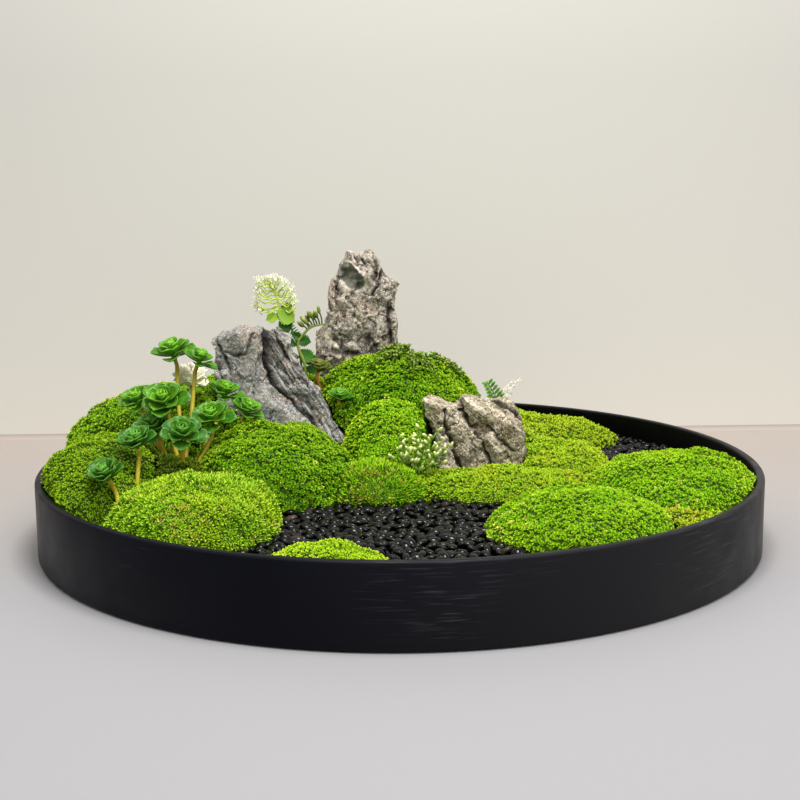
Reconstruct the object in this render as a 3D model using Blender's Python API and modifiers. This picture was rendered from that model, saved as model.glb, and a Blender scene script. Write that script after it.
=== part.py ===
"""A moss landscape in a low round tray.

A black tray holds a foam base cut to a hill. Cushions of moss, three stones and
two beds of pebbles lie on it, and a succulent, small sprays and flowers stand in
plain holes in the moss. Metres, +Z up. The origin is the centre of the tray's foot.
"""

import math
import random

import bmesh
import bpy
from mathutils import Matrix, Vector, noise

MM = 0.001
GAP = 0.3 * MM

TRAY_RADIUS = 300 * MM
TRAY_HEIGHT = 61.5 * MM
TRAY_WALL = 7 * MM
TRAY_FLOOR = 5 * MM
TRAY_STEPS = 60
RIM_ROUND = 2.2 * MM
FOOT_ROUND = 2.5 * MM
FLOOR_EASE = 4 * MM

FOAM_LEVEL = 38 * MM
FILL_RADIUS = TRAY_RADIUS - TRAY_WALL - 0.8 * MM
PEBBLE_LEVEL = 46 * MM
PEBBLE_LEVEL_BACK = 41 * MM
PEBBLE_PITCH = 18 * MM
PEBBLE_RISE = 4.2 * MM

WHITE_BUDS = 11
BERRIES = 10

# Each block of foam on the disc: centre x and y, reach in x and y at its foot, the
# share of that reach left at its top, and its top, in millimetres.
FOAM_BLOCKS = (
    (-42, 106, 104, 84, 0.56, 98),
    (-186, 58, 84, 80, 0.56, 74),
)
FOAM_SIDES = 12
FOAM_DISC_SIDES = 40
FOAM_DISC_TAPER = 5 * MM
FOAM_BLOCK_FOOT = 20 * MM

# Each cushion of moss, in millimetres: centre x and y, reach in x and y, turn in
# degrees, top, level of its widest ring, and sides. An earlier one keeps its whole
# shape, and a later one is cut where they meet.
CUSHIONS = {
    "moss_front_left": (-150, -168, 64, 68, 0, 86, 48, 18),
    "moss_centre_left": (-103, -47, 68, 73, 0, 101, 52, 18),
    "moss_front_right": (131, -180, 70, 63, 0, 78, 46, 18),
    "moss_right": (217, -82, 72, 74, 0, 84, 46, 18),
    "moss_small_front": (-49, -258, 42, 27, 0, 61, 46, 12),
    "moss_centre": (-8, 13, 43, 49, 0, 111, 50, 14),
    "moss_summit": (-3, 86, 78, 66, 0, 141, 82, 16),
    "moss_left": (-236, -66, 54, 88, 0, 96, 46, 16),
    "moss_stem_bed": (-183, -62, 42, 48, 0, 82, 55, 12),
    "moss_left_back": (-178, 56, 120, 76, 13, 117, 56, 18),
    "moss_saddle": (-98, 100, 53, 62, 0, 126, 76, 12),
    "moss_grass": (-18, -64, 40, 38, 0, 72, 45, 12),
    "moss_mat": (89, -53, 83, 44, 0, 64, 46, 14),
    "moss_mat_right": (134, 38, 52, 76, 0, 65, 46, 14),
    "moss_right_back": (122, 152, 92, 54, 15, 66, 45, 16),
    "moss_sparse": (197, -168, 50, 46, 0, 58, 44, 12),
    "moss_behind_stone": (90, 78, 44, 46, 0, 74, 46, 12),
    "moss_back": (-36, 196, 96, 84, 0, 112, 60, 14),
    "moss_back_left": (-162, 170, 88, 90, 0, 106, 50, 14),
    "moss_back_right": (76, 202, 72, 80, 0, 67, 45, 14),
}
CUSHION_POWER = 2.3

# Cushions that slope more than they bulge, each with its own power.
SLOPING = {"moss_front_right": 1.8, "moss_right": 1.9, "moss_right_back": 1.5}
CUSHION_GROW = 0.6 * MM
CUSHION_RINGS = 8
CUSHION_SWELL = 0.07
CUSHION_RISE_SWELL = 0.05

# Outlines of the stones' slabs, seen from the front, as x and z in millimetres,
# each with its front and back in y.
STONE_LEFT = (
    (8, 44, ((-166, 164), (-158, 167), (-150, 172), (-140, 176), (-128, 175), (-119, 178),
             (-115, 170), (-117, 139), (-113, 125), (-106, 112), (-92, 102), (-82, 92),
             (-58, 76), (-56, 52), (-150, 52), (-158, 100), (-162, 132), (-162, 153))),
    (22, 60, ((-106, 175), (-100, 169), (-87, 159), (-89, 153), (-83, 138), (-76, 128),
              (-64, 113), (-57, 99), (-52, 87), (-38, 73), (-42, 60), (-96, 52),
              (-119, 100), (-119, 150), (-115, 170))),
)
STONE_TALL = (
    (90, 138, ((-83, 112), (-80, 146), (-79, 157), (-69, 165), (-69, 173), (-66, 185),
               (-66, 199), (-58, 214), (-54, 223), (-47, 237), (-43, 236), (-37, 226),
               (-28, 216), (-16, 209), (-4, 199), (1, 179), (3, 159), (4, 112))),
    (96, 130, ((-40, 199), (-38, 228), (-33, 235), (-27, 236), (-19, 232), (-15, 225),
               (-14, 217), (-18, 204))),
    (94, 126, ((-22, 193), (-12, 209), (-9, 212), (-2, 208), (1, 201), (0, 187), (-6, 179))),
)
STONE_RIGHT = (
    (-8, 32, ((16, 111), (20, 117), (35, 116), (47, 104), (42, 88), (41, 79), (46, 69),
              (49, 40), (31, 40), (28, 79), (23, 93))),
    (-3, 36, ((38, 114), (49, 106), (54, 97), (66, 88), (70, 79), (77, 62), (78, 40),
              (50, 40), (46, 70), (42, 92))),
    (0, 36, ((50, 116), (54, 118), (65, 114), (84, 104), (86, 96), (82, 85), (74, 88),
             (60, 92), (53, 103))),
    (-10, 32, ((84, 103), (104, 96), (109, 80), (109, 68), (107, 40), (82, 40), (76, 62),
               (69, 82), (80, 86))),
    (16, 42, ((70, 112), (81, 113), (98, 109), (105, 102), (110, 85), (110, 42), (74, 42))),
)
SLAB_CHAMFER = 5 * MM
STONE_ROOM = 1.5 * MM
STONE_FACES = 380

# Each stone's voxel, its lean to the back for each unit of height, and its roughness.
STONE_MAKE = {
    "stone_left": (STONE_LEFT, 3.4 * MM, 0.04, 1.6),
    "stone_tall": (STONE_TALL, 3.4 * MM, 0.0, 1.8),
    "stone_right": (STONE_RIGHT, 2.8 * MM, 0.0, 1.1),
}

# Scoops out of the tall stone, as centre and radii: the hollow under its peaks, the
# pit beside it, and the recess on its right.
TALL_STONE_SCOOPS = (
    ((-44, 88, 215), (8, 9, 9)),
    ((-30, 90, 207), (4, 7, 6)),
    ((-8, 88, 170), (3.5, 9, 12)),
)

# Outlines of the two beds of pebbles, as x and y in millimetres.
PEBBLES_FRONT = (
    (-134, -262), (-112, -130), (-60, -98), (-20, -84), (60, -78), (150, -76), (166, -110),
    (130, -140), (84, -190), (84, -282), (0, -296), (-90, -290),
)
PEBBLES_BACK = (
    (140, 20), (150, 60), (150, 110), (170, 150), (180, 200), (204, 216), (240, 180),
    (262, 130), (290, 60), (290, -20), (230, -30), (165, -25),
)

# Heads of the succulent: x, y and z of the head's foot, width across, lean towards
# the viewer and to the right in degrees, and the kind of head.
HEADS = {
    "succulent_head_top_left": (-188, 0, 151, 36, 20, -12, "open"),
    "succulent_head_top_right": (-165, -22, 149, 31, 14, 22, "open"),
    "succulent_head_by_stone": (-146, -12, 119, 31, 18, 14, "small"),
    "succulent_head_centre": (-150, -58, 107, 35, 34, -4, "open"),
    "succulent_head_right": (-127, -26, 107, 30, 20, 26, "open"),
    "succulent_head_big": (-187, -58, 121, 40, 42, -6, "open"),
    "succulent_head_left": (-214, -24, 115, 34, 26, -18, "open"),
    "succulent_head_low_left": (-196, -52, 98, 31, 30, -14, "small"),
    "succulent_head_low_centre": (-170, -90, 100, 29, 36, 8, "small"),
}
SINGLE_HEADS = {
    "succulent_head_front_upper": (-202, -103, 96, 34, 24, -8, "open"),
    "succulent_head_front_lower": (-218, -138, 79, 32, 26, -16, "open"),
    "succulent_head_behind_brown": (-72, 66, 128, 24, 14, 10, "small"),
    "succulent_head_behind_green": (-52, 36, 107, 23, 22, 6, "small"),
}
TRUNK_FOOT = (-171, -78, 60)
TRUNK_TOP = (-171, -78, 90)
TRUNK_RADIUS = 3.2 * MM
STEM_RADIUS = 1.7 * MM
STEM_BEND = (0.15, 0.7, 1.0)
HEAD_LEAVES = 5
HEAD_LEAF_THICK = 0.05
HEAD_FOOT = -0.02
HEAD_SPIN = 1.1
HEAD_CORE = (0.08, 0.11)
HEAD_BANDS = (-0.02, 0.07, 0.13)
HEAD_CROWN = 0.10

# Sections of a head's leaf: share of its length, of its width, and of its thickness.
ROUND_LEAF = ((0.42, 0.72, 0.9), (0.78, 1.0, 0.9), (1.0, 0.42, 0.5))
KITE_LEAF = ((0.62, 1.0, 0.9), (1.0, 0.30, 0.5))

# Whorls of a head of width 1: length, width and pitch of each leaf, and its sections.
OPEN_HEAD = ((0.50, 0.36, 6, ROUND_LEAF), (0.40, 0.31, 38, ROUND_LEAF))
SMALL_HEAD = ((0.50, 0.34, 14, KITE_LEAF), (0.38, 0.28, 46, KITE_LEAF))

# Feet of the single stems, as x, y and z.
SINGLE_FEET = {
    "succulent_head_front_upper": (-201, -124, 52),
    "succulent_head_front_lower": (-207, -158, 48),
    "succulent_head_behind_brown": (-70, 70, 104),
    "succulent_head_behind_green": (-45, 34, 86),
}

# Feet of the sprays: x, y and z of the foot, and the radius of its hole.
SPRAY_FEET = {
    "white_flower_stem": (-88, 84, 104, 1.8),
    "bud_sprig": (-84, 74, 104, 1.8),
    "cream_blossom": (-181, 22, 77, 2.0),
    "white_bud_spray": (11, -36, 40, 2.0),
    "berry_sprig": (12, 76, 105, 2.2),
    "fern_tip": (85, 62, 56, 1.8),
}
HOLE_OVER_MOSS = 12
TWIG_OVER_MOSS = 4
TRUNK_HOLE = 5.5
TRUNK_HOLE_TOP = 100
STEM_HOLE = 2.4

# The spidery flower: its hub, and each leaf on its stem as place, length, width,
# heading and rise in degrees.
FLOWER_HUB = (-107, 90, 184)
FLOWER_STEM = ((-88, 84, 132), (-92, 88, 152), (-99, 90, 168))
FLOWER_LEAVES = (
    ((-99, 90, 166), 19, 15, 8, 38),
    ((-101, 90, 169), 15, 10, 175, 28),
    ((-98, 89.5, 164), 14, 10, -42, -14),
    ((-90, 86, 144), 12, 7, 100, 34),
    ((-89, 85, 138), 13, 8, 15, 40),
)
FLORETS = 8

# The arching sprig, and each of its buds as the stalk's start and the bud's tip.
SPRIG_ARCH = ((-84, 74, 132), (-88, 76, 150), (-83, 76, 161), (-76, 76, 167), (-68, 76, 169))
SPRIG_BUDS = (
    ((-80, 76, 164.5), (-92, 75, 176)),
    ((-76, 76, 167), (-86, 77, 182)),
    ((-72, 76, 168.5), (-78, 75, 185)),
    ((-69, 76, 169), (-71, 76, 187)),
)

BLOSSOM_CENTRE = (-181, 22, 130)
PETALS = 12
GOLDEN_ANGLE = 2.39996

# The fern tip: the ends and the bow of its rib, and its two threads as end and bow.
FERN_RIB = ((85, 62, 78), (77, 58, 120), (4, 0, 0))
FERN_THREAD_START = (84, 60, 100)
FERN_THREADS = (((106, 62, 119), (0, 0, 5)), ((98, 60, 108), (0, 0, 3)))
FERN_PAIRS = 5

COLOURS = {
    "tray": ((0.018, 0.019, 0.023), 0.42),
    "foam": ((0.06, 0.10, 0.04), 0.95),
    "pebble": ((0.02, 0.02, 0.022), 0.25),
    "stone": ((0.30, 0.28, 0.26), 0.85),
    "moss": ((0.13, 0.30, 0.03), 0.95),
    "leaf": ((0.08, 0.30, 0.05), 0.45),
    "stem": ((0.42, 0.40, 0.07), 0.6),
    "cream": ((0.85, 0.84, 0.68), 0.6),
}


def clear_scene():
    """Remove the objects that a new file starts with."""
    for item in list(bpy.data.objects):
        bpy.data.objects.remove(item, do_unlink=True)


def new_collection(name):
    group = bpy.data.collections.new(name)
    bpy.context.scene.collection.children.link(group)
    return group


clear_scene()
PARTS = new_collection("moss_centerpiece")
CUTTERS = new_collection("cutters")


def finish(name):
    """One Principled material for each finish, made when first asked for."""
    if name in bpy.data.materials:
        return bpy.data.materials[name]
    colour, roughness = COLOURS[name]
    material = bpy.data.materials.new(name)
    material.use_nodes = True
    shader = material.node_tree.nodes["Principled BSDF"]
    shader.inputs["Base Color"].default_value = (*colour, 1)
    shader.inputs["Roughness"].default_value = roughness
    shader.inputs["Metallic"].default_value = 0
    return material


def mesh_of(shape, name):
    """A mesh from a bmesh, which is then freed."""
    bmesh.ops.recalc_face_normals(shape, faces=shape.faces)
    mesh = bpy.data.meshes.new(name)
    shape.to_mesh(mesh)
    shape.free()
    return mesh


def place(name, mesh, finish_name=None, group=None):
    """An object for a mesh, in the part's collection or in the cutters'."""
    item = bpy.data.objects.new(name, mesh)
    (group or PARTS).objects.link(item)
    if finish_name and not mesh.materials:
        mesh.materials.append(finish(finish_name))
    if group is CUTTERS:
        item.hide_render = True
        item.display_type = "WIRE"
    return item


def evaluated_mesh(item, name):
    """The mesh that an object has after its modifiers, in world space."""
    graph = bpy.context.evaluated_depsgraph_get()
    mesh = bpy.data.meshes.new_from_object(item.evaluated_get(graph), depsgraph=graph)
    mesh.name = name
    mesh.transform(item.matrix_world)
    return mesh


def discard(item):
    bpy.data.objects.remove(item, do_unlink=True)


def largest_body(mesh):
    """Drop the loose scraps that a cut leaves, and keep the biggest body."""
    shape = bmesh.new()
    shape.from_mesh(mesh)
    left = set(shape.verts)
    bodies = []
    while left:
        body = {left.pop()}
        edge_of_body = list(body)
        while edge_of_body:
            here = edge_of_body.pop()
            for edge in here.link_edges:
                other = edge.other_vert(here)
                if other not in body:
                    body.add(other)
                    edge_of_body.append(other)
        left -= body
        bodies.append(body)
    bodies.sort(key=lambda body: -extent(body))
    scraps = [vert for body in bodies[1:] for vert in body]
    bmesh.ops.delete(shape, geom=scraps, context="VERTS")
    shape.to_mesh(mesh)
    shape.free()
    return mesh


def extent(verts):
    """Diagonal of the box round some vertices."""
    low = Vector([min(vert.co[i] for vert in verts) for i in range(3)])
    high = Vector([max(vert.co[i] for vert in verts) for i in range(3)])
    return (high - low).length


def near(first, second, margin=2 * MM):
    """Whether the boxes of two objects come within a margin of each other."""
    for axis in range(3):
        a = [(first.matrix_world @ Vector(corner))[axis] for corner in first.bound_box]
        b = [(second.matrix_world @ Vector(corner))[axis] for corner in second.bound_box]
        if min(a) > max(b) + margin or min(b) > max(a) + margin:
            return False
    return True


def cut(item, cutters, solver="EXACT"):
    """Cut an object by each cutter that comes near it, and keep the main body."""
    bpy.context.view_layer.update()
    for cutter in cutters:
        if not near(item, cutter):
            continue
        step = item.modifiers.new(cutter.name, "BOOLEAN")
        step.operation = "DIFFERENCE"
        step.solver = solver
        step.object = cutter
    mesh = evaluated_mesh(item, item.name)
    item.modifiers.clear()
    item.data = largest_body(mesh)
    return item


def fused(meshes, name):
    """One body from several closed meshes, by a Boolean union on a collection."""
    rest = new_collection(name + "_pieces")
    first = bpy.data.objects.new(name + "_first", meshes[0])
    bpy.context.scene.collection.objects.link(first)
    for number, mesh in enumerate(meshes[1:]):
        rest.objects.link(bpy.data.objects.new(f"{name}_{number}", mesh))
    step = first.modifiers.new("fuse", "BOOLEAN")
    step.operation = "UNION"
    step.solver = "EXACT"
    step.operand_type = "COLLECTION"
    step.collection = rest
    mesh = evaluated_mesh(first, name)
    mesh.materials.clear()
    for item in list(rest.objects):
        discard(item)
    bpy.data.collections.remove(rest)
    discard(first)
    return largest_body(mesh)


def smooth(item, angle=50):
    """Shade smooth, with edges sharper than an angle kept sharp."""
    item.data.shade_smooth()
    item.data.set_sharp_from_angle(angle=math.radians(angle))


def ball(centre, radii, sides, rings, turn=None):
    """A closed ellipsoid from a UV sphere."""
    shape = bmesh.new()
    bmesh.ops.create_uvsphere(shape, u_segments=sides, v_segments=rings, radius=1)
    place_at = Matrix.Translation(centre) @ (turn or Matrix())
    bmesh.ops.transform(shape, matrix=place_at @ Matrix.Diagonal((*radii, 1)), verts=shape.verts)
    return mesh_of(shape, "ball")


def tube(points, radius, resolution=1, taper=1.0):
    """A closed round rod along points, as a mesh in world space."""
    curve = bpy.data.curves.new("tube", "CURVE")
    curve.dimensions = "3D"
    curve.bevel_depth = radius
    curve.bevel_resolution = resolution
    curve.use_fill_caps = True
    spline = curve.splines.new("POLY")
    spline.points.add(len(points) - 1)
    for number, (point, place_here) in enumerate(zip(spline.points, points)):
        point.co = (*place_here, 1)
        point.radius = 1 + (taper - 1) * number / (len(points) - 1)
    item = bpy.data.objects.new("tube", curve)
    bpy.context.scene.collection.objects.link(item)
    bpy.context.view_layer.update()
    mesh = evaluated_mesh(item, "tube")
    discard(item)
    shape = bmesh.new()
    shape.from_mesh(mesh)
    bmesh.ops.remove_doubles(shape, verts=shape.verts, dist=0.00001)
    return mesh_of(shape, "tube")


def bow(start, end, bulge, count):
    """Points along a smooth bend between two places, pushed sideways by bulge."""
    start, end, bulge = Vector(start), Vector(end), Vector(bulge)
    points = []
    for number in range(count):
        t = number / (count - 1)
        points.append(start.lerp(end, t) + bulge * math.sin(math.pi * t))
    return points


def blade(length, width, thickness, arch=0.0, cup=0.0, rings=4, tip=0.75):
    """A thick leaf along +X from the origin, its widest place at tip of its length."""
    shape = bmesh.new()
    bmesh.ops.create_uvsphere(shape, u_segments=4, v_segments=rings, radius=1)
    for vert in shape.verts:
        t = (1 - vert.co.z) / 2
        across, up = vert.co.x, vert.co.y
        ring = max(1e-9, math.hypot(across, up))
        across, up = across / ring, up / ring
        swell = math.sin(math.pi * t ** (math.log(0.5) / math.log(tip))) if 0 < t < 1 else 0
        half = width / 2 * (0.30 * (1 - t) + 0.95 * swell) if 0 < t < 1 else 0
        x = length * t
        y = half * across
        z = thickness / 2 * up * (1 if 0 < t < 1 else 0)
        z += arch * t * t + cup * abs(across) * (half / max(width / 2, 1e-9)) ** 2
        vert.co = (x, y, z)
    return mesh_of(shape, "blade")


def turned(mesh, *steps):
    """A mesh after a chain of matrices, the last one applied first."""
    chain = Matrix()
    for step in steps:
        chain = chain @ step
    mesh.transform(chain)
    return mesh


def millimetres(place_here):
    return Vector(place_here) * MM


def make_tray():
    """The tray is one turned profile: foot, wall, rounded rim, inside wall and floor."""
    inner = TRAY_RADIUS - TRAY_WALL
    rim = TRAY_HEIGHT - RIM_ROUND
    half_round = math.sqrt(0.5)
    profile = [
        (0, TRAY_FLOOR),
        (inner - FLOOR_EASE, TRAY_FLOOR),
        (inner, TRAY_FLOOR + FLOOR_EASE),
        (inner, rim),
        (inner + RIM_ROUND * (1 - half_round), rim + RIM_ROUND * half_round),
        (inner + RIM_ROUND, TRAY_HEIGHT),
        (TRAY_RADIUS - RIM_ROUND, TRAY_HEIGHT),
        (TRAY_RADIUS - RIM_ROUND * (1 - half_round), rim + RIM_ROUND * half_round),
        (TRAY_RADIUS, rim),
        (TRAY_RADIUS, FOOT_ROUND),
        (TRAY_RADIUS - FOOT_ROUND, 0),
        (0, 0),
    ]
    mesh = bpy.data.meshes.new("tray")
    edges = [(n, n + 1) for n in range(len(profile) - 1)]
    mesh.from_pydata([(x, 0, z) for x, z in profile], edges, [])
    tray = place("tray", mesh, "tray")
    screw = tray.modifiers.new("turn", "SCREW")
    screw.axis = "Z"
    screw.steps = TRAY_STEPS
    screw.render_steps = TRAY_STEPS
    screw.use_merge_vertices = True
    screw.merge_threshold = 0.00001
    tray.data = evaluated_mesh(tray, "tray")
    tray.modifiers.clear()
    smooth(tray, 40)


def foam_shape(name, grow):
    """The foam: a disc that fills the tray's floor, with two tapered blocks on it."""
    low = TRAY_FLOOR + GAP
    pieces = []
    shape = bmesh.new()
    bmesh.ops.create_cone(
        shape,
        cap_ends=True,
        segments=FOAM_DISC_SIDES,
        radius1=FILL_RADIUS - FOAM_DISC_TAPER,
        radius2=FILL_RADIUS,
        depth=FOAM_LEVEL + grow - low,
        matrix=Matrix.Translation((0, 0, (FOAM_LEVEL + grow + low) / 2)),
    )
    pieces.append(mesh_of(shape, "disc"))
    for x, y, reach_x, reach_y, share, top in FOAM_BLOCKS:
        height = top * MM + grow - FOAM_BLOCK_FOOT
        shape = bmesh.new()
        bmesh.ops.create_cone(
            shape,
            cap_ends=True,
            segments=FOAM_SIDES,
            radius1=1,
            radius2=share,
            depth=height,
            matrix=Matrix.Translation((x * MM, y * MM, FOAM_BLOCK_FOOT + height / 2))
            @ Matrix.Diagonal((reach_x * MM + grow, reach_y * MM + grow, 1, 1)),
        )
        pieces.append(mesh_of(shape, "block"))
    return fused(pieces, name)


def cushion(name, grow):
    """A cushion of moss: a lumpy dome whose side goes straight down to the foam."""
    x, y, reach_x, reach_y, turn, top, level, sides = CUSHIONS[name]
    power = SLOPING.get(name, CUSHION_POWER)
    reach_x = reach_x * MM + grow
    reach_y = reach_y * MM + grow
    rise = (top - level) * MM + grow
    seed = list(CUSHIONS).index(name) * 7.3
    foot = FOAM_LEVEL + GAP - 2 * grow
    shape = bmesh.new()
    bmesh.ops.create_uvsphere(shape, u_segments=sides, v_segments=CUSHION_RINGS, radius=1)
    turned_by = Matrix.Rotation(math.radians(turn), 4, "Z")
    below = []
    for vert in shape.verts:
        ux, uy, uz = vert.co
        ring = max(1e-9, math.hypot(ux, uy))
        ux, uy = ux / ring, uy / ring
        if uz > -0.05:
            reach = max(0, 1 - min(1, abs(uz)) ** 2) ** (1 / power)
            height = rise * max(0, uz)
        else:
            reach = 1.0
            height = 0
        spot = Vector((ux * reach, uy * reach, max(0, uz)))
        lump = noise.noise(spot * 1.9 + Vector((seed, 0, 0)))
        lump += 0.5 * noise.noise(spot * 4.3 + Vector((0, seed, 0)))
        swell = 1 + CUSHION_SWELL * lump
        place_here = Vector((reach_x * ux * reach * swell, reach_y * uy * reach * swell, 0))
        place_here = turned_by @ place_here
        height *= 1 + CUSHION_RISE_SWELL * lump
        place_here += Vector((x * MM, y * MM, level * MM + height))
        if uz < -0.05:
            place_here.z = foot
        reach_out = math.hypot(place_here.x, place_here.y)
        if reach_out > FILL_RADIUS + grow:
            place_here.xy *= (FILL_RADIUS + grow) / reach_out
        vert.co = place_here
        if uz < -0.4:
            below.append(vert)
    bmesh.ops.delete(shape, geom=below, context="VERTS")
    bmesh.ops.holes_fill(shape, edges=shape.edges, sides=sides)
    bmesh.ops.triangulate(shape, faces=shape.faces, quad_method="FIXED")
    return mesh_of(shape, name)


def moss_level(x, y):
    """Level of the moss at a place, from the smooth domes, in millimetres."""
    level = FOAM_LEVEL / MM
    for name, row in CUSHIONS.items():
        centre_x, centre_y, reach_x, reach_y, turn, top, foot, sides = row
        away = Matrix.Rotation(-math.radians(turn), 2) @ Vector((x - centre_x, y - centre_y))
        reach = math.hypot(away.x / reach_x, away.y / reach_y)
        if reach < 1:
            power = SLOPING.get(name, CUSHION_POWER)
            level = max(level, foot + (top - foot) * math.sqrt(1 - reach ** power))
    return level


def clear_of_moss(start, tip):
    """A tip moved up until the straight way to it passes over the moss."""
    tip = tip.copy()
    low = True
    while low:
        spots = [start.lerp(tip, t) for t in (0.3, 0.5, 0.7, 0.85, 1.0)]
        low = any(spot.z < (moss_level(*(spot.xy / MM)) + TWIG_OVER_MOSS) * MM for spot in spots)
        tip.z += low * MM
    return tip


def slab(front, back, outline):
    """A flat slab of stone with chamfered edges, its outline seen from the front."""
    curve = bpy.data.curves.new("slab", "CURVE")
    curve.dimensions = "2D"
    curve.fill_mode = "BOTH"
    curve.extrude = (back - front) * MM / 2 - SLAB_CHAMFER
    curve.bevel_depth = SLAB_CHAMFER
    curve.bevel_resolution = 0
    curve.offset = -SLAB_CHAMFER
    spline = curve.splines.new("POLY")
    spline.points.add(len(outline) - 1)
    spline.use_cyclic_u = True
    for point, (x, z) in zip(spline.points, outline):
        point.co = (x * MM, z * MM, 0, 1)
    item = bpy.data.objects.new("slab", curve)
    item.rotation_euler = (math.radians(90), 0, 0)
    item.location = (0, (front + back) / 2 * MM, 0)
    bpy.context.scene.collection.objects.link(item)
    bpy.context.view_layer.update()
    mesh = evaluated_mesh(item, "slab")
    discard(item)
    shape = bmesh.new()
    shape.from_mesh(mesh)
    bmesh.ops.remove_doubles(shape, verts=shape.verts, dist=0.00001)
    return mesh_of(shape, "slab")


def stone(name):
    """A broken stone: slabs melted together, roughened by noise, then made coarse."""
    slabs, voxel, lean, rough = STONE_MAKE[name]
    whole = bmesh.new()
    for front, back, outline in slabs:
        whole.from_mesh(slab(front, back, outline))
    item = place(name, mesh_of(whole, name), "stone")
    melt = item.modifiers.new("melt", "REMESH")
    melt.mode = "VOXEL"
    melt.voxel_size = voxel
    item.data = evaluated_mesh(item, name)
    item.modifiers.clear()
    foot = min(vert.co.z for vert in item.data.vertices)
    middle = sum((vert.co.y for vert in item.data.vertices)) / len(item.data.vertices)
    normals = [vert.normal.copy() for vert in item.data.vertices]
    for vert, normal in zip(item.data.vertices, normals):
        spot = vert.co / MM
        crag = noise.noise(spot / 19, noise_basis="VORONOI_F2F1") - 0.35
        chip = noise.noise(spot / 8, noise_basis="BLENDER") - 0.5
        vert.co += normal * MM * rough * (1.5 * crag + 1.1 * chip - 0.4)
        vert.co.y += lean * (vert.co.z - foot) + 0.10 * (middle - vert.co.y)
    coarse = item.modifiers.new("coarse", "DECIMATE")
    coarse.ratio = STONE_FACES / (2 * len(item.data.polygons))
    coarse.use_collapse_triangulate = True
    item.data = evaluated_mesh(item, name)
    item.modifiers.clear()
    if not item.data.materials:
        item.data.materials.append(finish("stone"))
    return item


def grown(item, by):
    """A cutter: a copy of a stone with its surface moved out a little."""
    room = place(item.name + "_room", item.data.copy(), None, CUTTERS)
    normals = [vert.normal.copy() for vert in room.data.vertices]
    for vert, normal in zip(room.data.vertices, normals):
        vert.co += normal * by
    return room


def pebble_bed(name, outline, seed, level):
    """A bed of pebbles: on a three-way lattice every third point is a pebble's crown."""
    draw = random.Random(seed)
    low_x = min(x for x, y in outline)
    high_x = max(x for x, y in outline)
    low_y = min(y for x, y in outline)
    high_y = max(y for x, y in outline)
    side = PEBBLE_PITCH / math.sqrt(3)
    row_step = side * math.sqrt(0.75)
    rows = int((high_y - low_y) * MM / row_step) + 2
    columns = int((high_x - low_x) * MM / side + rows / 2) + 2
    shape = bmesh.new()
    bmesh.ops.create_grid(shape, x_segments=columns, y_segments=rows, size=0.5)
    crowns = set()
    for vert in shape.verts:
        column = round((vert.co.x + 0.5) * columns)
        row = round((vert.co.y + 0.5) * rows)
        if (column - row) % 3 == 0:
            crowns.add(vert.index)
        slide = 0.5 * row - rows // 2
        vert.co.x = low_x * MM + side * (column + slide + draw.uniform(-0.12, 0.12))
        vert.co.y = low_y * MM + row_step * (row + draw.uniform(-0.12, 0.12))
        crown = draw.uniform(0.8, 1.1) if vert.index in crowns else 0
        vert.co.z = level + PEBBLE_RISE * crown
    outside = [face for face in shape.faces if not inside(face.calc_center_median(), outline)]
    bmesh.ops.delete(shape, geom=outside, context="FACES")
    pinched = True
    while pinched:
        pinched = [
            vert for vert in shape.verts if sum(edge.is_boundary for edge in vert.link_edges) > 2
        ]
        bmesh.ops.delete(shape, geom=pinched, context="VERTS")
    bmesh.ops.triangulate(shape, faces=shape.faces, quad_method="SHORT_EDGE")
    for vert in shape.verts:
        reach = math.hypot(vert.co.x, vert.co.y)
        if reach > FILL_RADIUS:
            vert.co.xy *= FILL_RADIUS / reach
    rim = [edge for edge in shape.edges if edge.is_boundary]
    skirt = bmesh.ops.extrude_edge_only(shape, edges=rim)["geom"]
    for part in skirt:
        if isinstance(part, bmesh.types.BMVert):
            part.co.z = FOAM_LEVEL + GAP
    bmesh.ops.holes_fill(shape, edges=shape.edges)
    return place(name, mesh_of(shape, name), "pebble")


def inside(point, outline):
    """Whether a point is inside an outline in millimetres, and inside the tray."""
    x, y = point.x / MM, point.y / MM
    if math.hypot(x, y) * MM > FILL_RADIUS + 1 * MM:
        return False
    odd = False
    for (x1, y1), (x2, y2) in zip(outline, outline[1:] + outline[:1]):
        if (y1 > y) != (y2 > y) and x < (x2 - x1) * (y - y1) / (y2 - y1) + x1:
            odd = not odd
    return odd


def head_mesh(name, whorls):
    """A succulent head of width 1: leaves drawn out of the faces of a ten-sided core.

    Each whorl takes every second face of its own band, so that the inner leaves stand
    over the gaps of the outer ones.
    """
    shape = bmesh.new()
    sides = 2 * HEAD_LEAVES
    foot, waist, crown_level = HEAD_BANDS
    bmesh.ops.create_cone(
        shape, cap_ends=True, segments=sides, radius1=HEAD_CORE[0], radius2=HEAD_CORE[1],
        depth=waist - foot, matrix=Matrix.Translation((0, 0, (foot + waist) / 2)),
    )
    top = max(shape.faces, key=lambda face: face.calc_center_median().z)
    raised = bmesh.ops.extrude_discrete_faces(shape, faces=[top])["faces"][0]
    bmesh.ops.translate(shape, vec=(0, 0, crown_level - waist), verts=raised.verts)
    walls = [face for face in shape.faces if len(face.verts) == 4]
    walls.sort(key=lambda face: math.atan2(*face.calc_center_median().yx))
    leaves = []
    for band, whorl in enumerate(whorls):
        low, high = HEAD_BANDS[band], HEAD_BANDS[band + 1]
        here = [face for face in walls if low < face.calc_center_median().z < high]
        leaves += [(face, *whorl) for face in here[band::2]]
    for leaf in leaves:
        draw_leaf(shape, *leaf)
    crown = bmesh.ops.poke(shape, faces=[raised])["verts"][0]
    crown.co.z += HEAD_CROWN
    return mesh_of(shape, name)


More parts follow.
